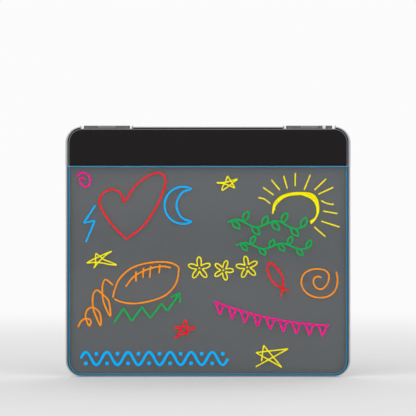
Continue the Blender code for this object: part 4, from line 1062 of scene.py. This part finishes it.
class BracketOperator(BoardOperator):
    """Dark grey hinge brackets in the two notches"""

    bl_idname = "writing_board.brackets"
    bl_label = "Hinge brackets"

    def build(self, scene):
        """Two round-backed knuckle blocks on one thin foot, bored for the pin, screws and gland."""
        colour_of = scene.board_finishes.bracket
        grey = material("dark_grey_moulding", moulded, colour_of, 0.42, 0.4, 0.02, specular=0.25)
        steel = plain_metal("pin_steel", "8A8B8D", 0.3)
        radius = scene.board_shapes.moulding_round / MM
        knuckle = arc((HINGE_Y, HINGE_Z), KNUCKLE, -90, 150)
        over_foot = [(FOOT_REAR - 1.2, FOOT_TOP), (FOOT_FRONT, FOOT_TOP)]
        side_line = np.vstack([[(FOOT_FRONT, FOOT_LOW)], knuckle, over_foot])
        for label, x in NOTCHES.items():
            foot = block(x, BRACKET_HALF - 0.1, (FOOT_FRONT, FOOT_REAR - 1), (FOOT_LOW, FOOT_TOP), 0.15)
            spans = ((-BRACKET_HALF, -SIDE_START), (SIDE_START, BRACKET_HALF))
            blocks = [slab(side_line, x + low, x + high, radius * 0.7, "x") for low, high in spans]
            shape = joined(f"hinge_bracket_{label}", [foot, *blocks])
            spots = [(x + end * BRACKET_SCREW_X, BRACKET_SCREW_Y, 0) for end in (-1, 1)]
            well_span = (FOOT_TOP - 0.01, FOOT_TOP + 6)
            wells = [rod(BRACKET_WELL, spot, *well_span, "z", round_by=0.005) for spot in spots]
            ends = ((-26, -PIN_HEAD_START), (PIN_HEAD_START, 26))
            heads = [rod(PIN_HEAD, (x, HINGE_Y, HINGE_Z), low, high, "x") for low, high in ends]
            slot = lead_hole(x + GLAND_X - NOTCH_X, 240, 255, 0.15)
            for tools in (wells, heads, [pin_hole(x)], [slot]):
                shape = cut(shape, tools)
            stands_for = [f"hinge_bracket_{label}"]
            piece(f"bracket_{label}", shape, [grey], stands_for=stands_for)
            dress(f"hinge_pin_{label}", steel)


class ArmOperator(BoardOperator):
    """Light grey hanger arms that fold over the board's top edge"""

    bl_idname = "writing_board.arms"
    bl_label = "Hanger arms"

    def build(self, scene):
        """A knuckle and hook swept across the hinge, joined to a leg that ends in a round paddle."""
        colour_of = scene.board_finishes.arm
        grey = material("light_grey_moulding", moulded, colour_of, 0.4, 0.4, 0.02, specular=0.25)
        radius = scene.board_shapes.moulding_round / MM
        half = (ARM_BACK - ARM_FRONT) / 2
        meet = math.degrees(math.asin(half / KNUCKLE))
        outer = ARM_BEND + 2 * half
        hook = np.vstack([
            arc((HINGE_Y, HINGE_Z), KNUCKLE, meet, 360 - meet),
            arc((ARM_FRONT - ARM_BEND, HINGE_Z - half - ARM_BEND), ARM_BEND, 90, 0, 8),
            [(ARM_FRONT, LEG_LOW), (ARM_BACK, LEG_LOW)],
            arc((ARM_BACK - outer, HINGE_Z + half - outer), outer, 0, 90, 12),
        ])
        neck = [(-CENTRE_HALF, LEG_TOP), (-CENTRE_HALF, CUP_Z + 14), (-CENTRE_HALF - 0.6, CUP_Z + 10.5)]
        neck = smooth(neck, 1.0)[:-1]
        paddle = np.vstack([neck, arc((0, CUP_Z), PADDLE, 141, 399, 56), mirrored(neck)])
        for label, x in NOTCHES.items():
            mesh = joined(f"hanger_arm_{label}", [
                slab(hook, x - CENTRE_HALF, x + CENTRE_HALF, radius, "x"),
                slab(paddle + (x, 0), ARM_FRONT, ARM_BACK, radius),
                block(x, SPINE_HALF, (ARM_BACK - 1, ARM_BACK + 0.9), (SPINE_LOW, LEG_TOP), 0.4),
            ])
            mesh = cut(mesh, [pin_hole(x)])
            mesh = cut(mesh, [rod(PADDLE_HOLE, (x, 0, CUP_Z), ARM_FRONT - 3, ARM_BACK + 3, "y")])
            stands_for = [f"hanger_arm_{label}"]
            piece(f"arm_{label}", mesh, [grey], f"hanger_{label}", stands_for)


class CupOperator(BoardOperator):
    """Clear suction cups with a pull tab"""

    bl_idname = "writing_board.cups"
    bl_label = "Suction cups"

    def build(self, scene):
        """A profile turned about the neck: knob, neck, shoulder, a flare of power 1.25 with three
        shallow ripples, a flat lip, and a hollow whose depth is 6 times a sine to the power 0.9."""
        vinyl = material("clear_vinyl", clear_vinyl, scene.board_finishes.cup)
        share = np.linspace(0, 1, 41)
        ripple = 0.10 * np.sin(share * 6 * np.pi) * np.sin(share * np.pi)
        flare = np.stack([7 + 20 * share, 0.9 + 8.1 * (1 - share) ** 1.25 + ripple], axis=1)
        hollow = np.stack([CUP_HOLLOW * (1 - share), 6.0 * np.sin(np.pi / 2 * share) ** 0.9], axis=1)
        knob = arc((4.4, 17.6), 1.1, 90, -60, 8)
        groove = [(4.3, 15.4), (3.9, 15.3), (CUP_NECK, 14.9), (CUP_NECK, 12.1), (3.9, 11.7)]
        shoulder = [(6.4, 11.7), (6.8, 11.55), (7, 11.2), (7, 9.5)]
        lip = [(CUP_RIM, 0.3), (CUP_RIM - 0.3, 0), (CUP_HOLLOW + 0.3, 0)]
        profile = np.vstack([[(0, 18.7)], knob, groove, shoulder, flare[1:], lip, hollow[1:]])
        profile[:, 1] = GLASS_Y - profile[:, 1]
        for label, x in NOTCHES.items():
            cup = turned(profile, (x, 0, CUP_Z), "y", scene.board_shapes.cup_sides)
            end = arc((x, TAB_LOW), TAB_HALF, 180, 360)
            tab = np.vstack([[(x - TAB_HALF, TAB_TOP)], end, [(x + TAB_HALF, TAB_TOP)]])
            mesh = joined(f"suction_cup_{label}", [cup, slab(tab, GLASS_Y - 1.7, GLASS_Y - 0.3, 0.35)])
            stands_for = [f"suction_cup_{label}"]
            piece(f"cup_{label}", mesh, [vinyl], f"cup_{label}", stands_for)


class GlandOperator(BoardOperator):
    """White gland for the lead"""

    bl_idname = "writing_board.gland"
    bl_label = "Lead gland"

    def build(self, scene):
        """A soft tube of oblong section that stands up through the bracket's foot."""
        colour_of = scene.board_finishes.gland
        white = material("white_gland", moulded, colour_of, 0.45, 0.5, 0.01, spread_by=0.02)
        sizes = ((GLAND_TUBE, 0.7), (GLAND_FLANGE, 0.8), (GLAND_BORE, 0.5))
        tube, flange, bore = [centred((GLAND_X, GLAND_Y), *size) for size in sizes]
        tube = slab(tube, GLAND_LOW + 0.5, GLAND_TOP, 0.3, "z")
        flange = slab(flange, GLAND_LOW, GLAND_LOW + 1.2, 0.2, "z")
        mesh = cut(joined("lead_gland", [tube, flange]), [slab(bore, 238, 254, 0.1, "z")])
        piece("gland", mesh, [white], stands_for=["lead_gland"])


class InsideOperator(BoardOperator):
    """Finishes of what is shut inside the header"""

    bl_idname = "writing_board.inside"
    bl_label = "Inside the header"

    def build(self, scene):
        """Each node inside the header keeps its shape and gets its own finish."""
        foam = material("foam", moulded, linear("303030"), 0.9, 0.8, 0.3, 0.1, 0.3)
        lamps = material("light_strip", moulded, linear("EDEFF1"), 0.45, 0.6, 0.02, spread_by=0.03)
        finishes = {
            "light_seal_front": foam,
            "light_seal_rear": foam,
            "light_channel": plain_metal("channel_aluminium", "C8CACC", 0.33, (0.02, 1, 1)),
            "led_strip": lamps,
            "driver_board": material("circuit_board", circuit),
            "capacitor": material("capacitor_case", moulded, linear("303A50"), 0.35, 0.5, 0.01),
            "driver_chip": material("chip_case", moulded, linear("262626"), 0.55, 0.3, 0.02),
            "red_wire": material("red_insulation", moulded, linear("C02020"), 0.4, 0.5, 0.01),
            "black_wire": material("black_insulation", moulded, linear("242424"), 0.4, 0.5, 0.01),
        }
        for name, finish in finishes.items():
            dress(name, finish)


# Drawings


def curves(*strokes):
    """Smooth strokes, each through its few places."""
    return [smooth(stroke) for stroke in strokes]


def ticks(*pairs):
    """Straight strokes, each between two places."""
    return [np.array(pair, float) for pair in pairs]


def straight(*places):
    """Straight lines from place to place, as separate strokes."""
    return ticks(*zip(places, places[1:]))


def wave(start, end, peaks, height):
    """A sine wave between two places: height sin(2 pi peaks s) across the line at share s."""
    start, end = np.asarray(start, float), np.asarray(end, float)
    share = np.linspace(0, 1, 40 * max(1, int(peaks)))
    across = np.array([start[1] - end[1], end[0] - start[0]]) / np.linalg.norm(end - start)
    rise = height * np.sin(2 * np.pi * peaks * share)
    return even(start + (end - start) * share[:, None] + across * rise[:, None])


def dots(*places):
    """Dots of ink, each a stroke with one place."""
    return [np.array([place], float) for place in places]


def dotted_wave(start, end, peaks, height):
    """A wave between two places at one level, with a dot in each of its hollows."""
    crest = np.arange(2 * peaks)
    across = start[0] + (end[0] - start[0]) * (crest + 0.5) / (2 * peaks)
    level = start[1] - np.where(crest % 2, -1, 1) * height * 0.75
    return [wave(start, end, peaks, height), *dots(*np.stack([across, level], axis=1))]


def flower(centre, size, turn):
    """Five petals in one stroke, r = size (0.62 + 0.38 cos 5(a - turn)), round a dot."""
    angle = np.linspace(0, 2 * np.pi, 160)
    radius = size * (0.62 + 0.38 * np.cos(5 * (angle - math.radians(turn))))
    return [even(centre + radius[:, None] * heading(angle)), *dots(centre)]


def leaf(base, angle, size):
    """Two bowed strokes from the base of a leaf to its tip: 0.24 size sin(pi s) to each side."""
    share = np.linspace(0, 1, 24)
    along_leaf = heading(math.radians(angle))
    across = np.array([-along_leaf[1], along_leaf[0]])
    middle = base + size * share[:, None] * along_leaf
    bow = 0.24 * size * np.sin(np.pi * share)[:, None] * across
    return [even(middle + bow), even(middle - bow)]


def vine(start, end, peaks, height, leaves, size):
    """A wavy stem with leaves set out from it by turns."""
    stem = wave(start, end, peaks, height)
    strokes = [stem]
    for index in range(leaves):
        place = int((index + 0.6) / leaves * (len(stem) - 1))
        strokes += leaf(stem[place], 62 if index % 2 else -48, size)
    return strokes


def bunting(start, end, flags, size):
    """A slack string, which sags by 20 s (1 - s) at share s, with a row of pennants under it."""
    share = np.linspace(0, 1, 80)[:, None]
    slack = np.array((0, 20)) * share * (1 - share)
    line = even(np.asarray(start) + (np.asarray(end, float) - start) * share - slack)
    strokes = [line]
    for index in range(flags):
        at = int((index + 0.18) / flags * (len(line) - 1))
        to = int((index + 0.82) / flags * (len(line) - 1))
        tip = (line[at] + line[to]) / 2 - (0, size)
        strokes += straight(line[at], tip, line[to])
    return strokes


# Each drawing has its ink, its share of the line width, and its strokes as (x, z) on the board
DRAWINGS = {
    "magenta_spiral": ("magenta", 1.0, curves(
        [(-131.7, 200.0), (-128.7, 202.8), (-124.8, 203.9), (-120.8, 202.5), (-118.5, 199.5),
         (-117.9, 196.0), (-118.8, 192.1), (-122.1, 190.1), (-125.8, 191.6), (-128.1, 195.0),
         (-127.7, 197.9), (-125.3, 199.1), (-123.1, 197.5)],
    )),
    "red_heart": ("red", 1.0, curves(
        [(-84.4, 174.6), (-85.7, 180.2), (-89.7, 185.2), (-96.6, 187.3), (-103.5, 184.7), (-107.7, 179.4),
         (-108.3, 173.3), (-105.3, 165.6), (-95.6, 151.6), (-83.1, 138.8)],
        [(-84.4, 174.0), (-79.8, 180.2), (-75.6, 187.1), (-68.7, 194.6), (-60.0, 200.6), (-54.5, 202.9),
         (-49.3, 203.7), (-44.6, 201.8), (-42.4, 197.0), (-43.6, 189.6), (-48.2, 177.3), (-56.1, 162.4),
         (-66.9, 148.6), (-83.2, 136.7)],
    )),
    "blue_bolt": ("blue", 1.1, straight(
        (-112.8, 171.5), (-124.4, 153.6), (-113.2, 156.2), (-122.3, 134.6),
    )),
    "blue_crescent": ("blue", 1.15, [
        even(arc((-25.0, 171.4), 18.6, 62, 298)),
        *curves([(-16.3, 187.8), (-26.6, 183.4), (-31.6, 171.4), (-26.6, 159.4), (-16.3, 155.0)]),
    ]),
    "yellow_star_top": ("yellow", 0.78, curves(
        [(8.5, 194.2), (13.7, 194.2), (18.4, 194.6), (23.1, 195.8), (29.4, 197.9)],
        [(8.8, 193.8), (14.6, 193.3), (18.4, 192.3), (22.5, 190.6), (26.9, 188.7)],
        [(29.5, 197.4), (25.2, 194.4), (21.9, 191.5), (14.2, 186.0)],
        [(13.8, 186.2), (14.5, 189.8), (17.2, 194.2), (19.6, 200.8)],
        [(19.6, 200.8), (23.1, 195.4), (26.9, 188.8)],
    )),
    "yellow_star_left": ("yellow", 0.76, curves(
        [(-121.5, 113.7), (-115.6, 117.0), (-110.5, 119.2), (-104.2, 122.3), (-96.3, 125.4)],
        [(-96.3, 125.4), (-101.0, 122.6), (-106.1, 118.0), (-110.2, 113.9), (-114.4, 108.5)],
        [(-112.2, 123.4), (-112.6, 119.0), (-112.4, 112.9), (-114.4, 108.5)],
        [(-112.1, 123.3), (-107.3, 119.7), (-104.2, 117.0), (-96.9, 114.3), (-91.3, 111.7)],
        [(-121.4, 113.6), (-112.7, 114.3), (-104.2, 113.4), (-99.3, 112.3), (-91.3, 111.6)],
    )),
    "yellow_star_low": ("yellow", 0.76, straight(
        (53.5, 15.2), (55.6, 31.3), (73.9, 9.2), (48.0, 24.0), (80.2, 27.7), (47.7, 9.7),
    )),
    "red_star": ("red", 0.8, curves(
        [(-22.5, 56.8), (-24.2, 53.2), (-26.5, 48.8), (-29.2, 43.4), (-31.7, 38.8)],
        [(-22.4, 56.6), (-21.4, 53.2), (-21.4, 46.5), (-21.2, 41.5)],
        [(-34.4, 49.2), (-28.4, 49.4), (-21.5, 49.2), (-12.5, 48.8)],
        [(-34.4, 49.1), (-30.7, 48.4), (-27.5, 46.5), (-23.5, 43.6), (-21.2, 41.5)],
        [(-12.5, 48.6), (-17.0, 46.7), (-21.2, 44.6), (-25.0, 42.5), (-29.4, 40.6), (-33.8, 38.3)],
    )),
    "yellow_sun": ("yellow", 1.0, curves(
        [(64.7, 162.8), (66.5, 173.2), (74.4, 180.6), (86.3, 183.6), (102.1, 183.1), (109.0, 177.1),
         (110.5, 166.3), (107.0, 157.4), (102.6, 152.9)],
        [(66.2, 166.0), (67.8, 172.0), (75.6, 179.2), (86.5, 182.2), (100.0, 181.8), (107.2, 177.4)],
        [(69.4, 176.2), (77.2, 181.4), (90.6, 182.6), (103.8, 180.6), (108.8, 172.8), (109.2, 165.4)],
        [(94.8, 182.2), (102.7, 178.7), (107.7, 173.3), (109.6, 165.4), (107.2, 158.5), (102.0, 154.8)],
    )),
    "yellow_rays": ("yellow", 0.8, [
        *ticks(
            ((55.0, 189.4), (65.8, 181.7)), ((63.4, 197.0), (72.0, 186.6)),
            ((75.7, 201.0), (79.4, 188.1)), ((87.5, 203.9), (87.2, 190.6)),
            ((102.4, 202.0), (96.2, 186.8)), ((118.4, 198.0), (106.4, 186.6)),
            ((125.4, 189.4), (110.3, 182.4)), ((115.2, 165.6), (129.6, 163.1)),
            ((113.3, 155.5), (131.9, 149.6)), ((106.2, 149.9), (117.6, 139.9)),
        ),
        *curves(
            [(50.3, 179.1), (56.4, 177.6), (62.5, 173.0)],
            [(113.2, 176.2), (117.7, 173.8), (122.5, 172.5), (126.1, 172.4)],
        ),
    ]),
    "green_vine_high": ("green", 1.0, vine((19.0, 154.0), (97.5, 151.0), 2.0, 3.4, 8, 11.5)),
    "green_vine_low": ("green", 1.0, vine((28.0, 131.0), (102.5, 130.0), 2.0, 2.8, 8, 9.5)),
    "yellow_flowers": ("yellow", 0.76, [
        *flower((-8.6, 108.4), 11.4, 92),
        *flower((15.4, 106.4), 10.2, 70),
        *flower((39.2, 109.4), 11.2, 100),
    ]),
    "orange_ball": ("orange", 1.0, [
        *curves(
            [(-95.2, 79.0), (-93.4, 86.9), (-88.4, 98.0), (-77.6, 107.9), (-63.7, 112.9), (-47.9, 114.7),
             (-36.1, 113.4), (-29.1, 109.4)],
            [(-29.1, 109.4), (-30.1, 100.0), (-32.8, 91.9), (-41.0, 82.5), (-53.8, 76.6), (-71.6, 73.1),
             (-85.5, 74.3), (-93.9, 77.6)],
            [(-82.5, 89.9), (-73.6, 100.5), (-58.8, 107.9), (-45.9, 110.2), (-37.0, 108.9)],
        ),
        *ticks(
            ((-72.1, 105.5), (-72.1, 95.1)), ((-64.5, 108.9), (-65.2, 98.5)),
            ((-57.3, 110.9), (-58.5, 98.9)), ((-48.1, 112.4), (-49.1, 103.2)),
        ),
    ]),
    "orange_trail": ("orange", 1.0, curves(
        [(-94.9, 91.4), (-102.3, 97.1), (-105.4, 92.1), (-105.7, 84.0), (-104.3, 74.1), (-97.8, 60.3),
         (-99.3, 75.1), (-105.2, 82.0), (-111.4, 86.5), (-115.1, 81.0), (-115.1, 69.2), (-111.7, 59.3),
         (-107.4, 50.9), (-108.2, 63.2), (-115.1, 69.2), (-121.1, 66.2), (-122.5, 59.3), (-119.2, 51.0),
         (-117.2, 54.2), (-118.6, 57.3), (-122.9, 57.9), (-127.0, 55.4), (-130.2, 49.4)],
    )),
    "green_arrow": ("green", 1.05, [
        *straight((-94.1, 53.9), (-84.4, 68.4), (-76.6, 55.4), (-66.2, 69.4), (-57.9, 58.4), (-46.6, 73.0),
                  (-40.6, 65.6), (-29.0, 82.4)),
        *straight((-37.2, 79.4), (-28.6, 83.2), (-28.0, 73.7)),
    ]),
    "red_loop": ("red", 1.0, curves(
        [(81.3, 85.8), (74.0, 88.3), (67.1, 92.7), (62.7, 98.2), (60.0, 105.1), (59.8, 110.4),
         (62.2, 114.6)],
        [(61.9, 114.4), (66.0, 111.8), (71.1, 106.1), (74.5, 99.2), (75.4, 92.2), (73.1, 79.9)],
    )),
    "orange_spiral": ("orange", 0.95, curves(
        [(128.4, 105.1), (129.6, 98.6), (129.2, 91.4), (126.4, 85.1), (120.7, 80.4), (113.1, 78.9),
         (105.7, 79.9), (99.4, 83.1), (95.0, 88.3), (93.4, 94.4), (94.7, 100.4), (98.6, 104.8),
         (104.4, 107.2), (111.0, 107.6), (116.8, 106.4), (120.6, 102.8), (120.9, 97.2), (118.4, 91.2),
         (113.9, 87.5), (109.2, 88.4), (105.9, 92.6), (105.9, 97.4), (109.2, 100.1), (113.8, 99.2)],
    )),
    "magenta_bunting": ("magenta", 1.0, bunting((6.0, 75.0), (121.5, 51.0), 9, 11.0)),
    "blue_border": ("blue", 1.6, dotted_wave((-127.5, 18.0), (20.0, 18.0), 7, 6.4)),
}


class DrawingOperator(BoardOperator):
    """Neon drawings on the writing panel"""

    bl_idname = "writing_board.drawings"
    bl_label = "Drawings"

    def build(self, scene):
        """Each drawing is one piece of raised ink lines, in the colour it is listed with."""
        inks = scene.ink_colours
        for number, (name, (ink, weight, strokes)) in enumerate(DRAWINGS.items()):
            finish = material(ink + "_ink", neon_ink, getattr(inks, ink), inks.glow)
            width = weight * inks.line / MM
            parts = []
            for index, stroke in enumerate(strokes):
                height = inks.height / MM * (1 + 0.04 * (index % 5))
                if len(stroke) == 1:
                    parts.append(ink_dot(stroke[0], 0.75 * width, height))
                else:
                    line = stroke if len(stroke) > 2 else even(stroke)
                    parts.append(ink_line(line, width, height, number + 1.7 * index))
            piece(name, mesh_of(name, parts), [finish], sharp=60)


class StageOperator(BoardOperator):
    """Floor, soft lamps, room light and the camera"""

    bl_idname = "writing_board.stage"
    bl_label = "Studio"

    def build(self, scene):
        """A wide pale floor under the board, three large lamps, and a long lens straight ahead."""
        self.floor()
        self.world(scene)
        studio = scene.studio
        for name, (place, size) in LAMPS.items():
            self.lamp(name + "_lamp", place, size, getattr(studio, name))
        camera = bpy.data.cameras.new("camera")
        camera.lens = studio.lens
        camera.sensor_width = SENSOR
        camera.clip_start = 0.05
        camera.clip_end = 60
        item = placed("camera", camera)
        away = studio.field * studio.lens / SENSOR
        item.location = (0, ORIGIN[1] + FACE_Y * MM - away, ORIGIN[2] + CAMERA_LEVEL)
        item.rotation_euler = (math.pi / 2, 0, 0)
        scene.camera = item
        scene.view_settings.view_transform = "Standard"

    def floor(self):
        """A level disc of rings r (cos a, sin a), close together in its first metre and wider beyond."""
        radius = np.concatenate([np.linspace(0, 1, 12), np.geomspace(1.2, 30, 14)])
        flat = radius[:, None, None] * heading(np.linspace(0, 2 * np.pi, 96, endpoint=False))
        mesh = mesh_of("floor", [surface(spread(flat / MM, -FLOOR_DROP, "z"), capped=False)])
        mesh.materials.append(material("pale_floor", pale_floor))
        placed("floor", mesh)

    def world(self, scene):
        """Room light for the object, and plain white for the camera, mirrors and glass."""
        world = bpy.data.worlds.new("studio_room")
        world.use_nodes = True
        tree = world.node_tree
        tree.nodes.clear()
        path = node(tree, "ShaderNodeLightPath")
        kinds = ("Camera", "Glossy", "Transmission")
        seen, glossy, through = [path.outputs[f"Is {kind} Ray"] for kind in kinds]
        seen = calculated(tree, "MAXIMUM", calculated(tree, "MAXIMUM", seen, glossy), through)
        level = ranged(tree, seen, scene.studio.room, 0.97)
        back = node(tree, "ShaderNodeBackground", {"Color": (1, 1, 1, 1), "Strength": level})
        node(tree, "ShaderNodeOutputWorld", {"Surface": back.outputs[0]})
        scene.world = world

    def lamp(self, name, place, size, power):
        """A square lamp that faces the middle of the board."""
        light = bpy.data.lights.new(name, "AREA")
        light.size = size
        light.energy = power
        item = placed(name, light)
        item.location = place
        aim = Vector((0, ORIGIN[1], ORIGIN[2] + LAMP_AIM)) - Vector(place)
        item.rotation_euler = aim.to_track_quat("-Z", "Y").to_euler()


OPERATORS = (
    StageOperator, HeaderOperator, BandOperator, PanelOperator, EdgingOperator, ScrewOperator,
    BracketOperator, ArmOperator, CupOperator, GlandOperator, InsideOperator, DrawingOperator,
)
GROUPS = {
    "board_finishes": BoardFinishes,
    "ink_colours": InkColours,
    "board_shapes": BoardShapes,
    "studio": StudioSettings,
}


class WritingBoardPanel(bpy.types.Panel):
    """Buttons and settings for the writing board"""

    bl_idname = "VIEW3D_PT_writing_board"
    bl_label = "Writing board"
    bl_space_type = "VIEW_3D"
    bl_region_type = "UI"
    bl_category = "Writing board"

    def draw(self, context):
        """List the operators, then the settings of each group."""
        for operator in OPERATORS:
            self.layout.operator(operator.bl_idname)
        for name, group in GROUPS.items():
            box = self.layout.box()
            box.label(text=group.__doc__)
            for setting in group.__annotations__:
                box.prop(getattr(context.scene, name), setting)


CLASSES = (*GROUPS.values(), *OPERATORS, WritingBoardPanel)


def register():
    """Add the classes and hang the settings on the scene."""
    for item in CLASSES:
        bpy.utils.register_class(item)
    for name, group in GROUPS.items():
        setattr(bpy.types.Scene, name, bpy.props.PointerProperty(type=group))


def unregister():
    """Take the settings and classes out again."""
    for name in GROUPS:
        delattr(bpy.types.Scene, name)
    for item in reversed(CLASSES):
        bpy.utils.unregister_class(item)


def main():
    """Register, and build every piece in order."""
    register()
    for operator in OPERATORS:
        group, action = operator.bl_idname.split(".")
        getattr(getattr(bpy.ops, group), action)()


if __name__ == "__main__":
    main()
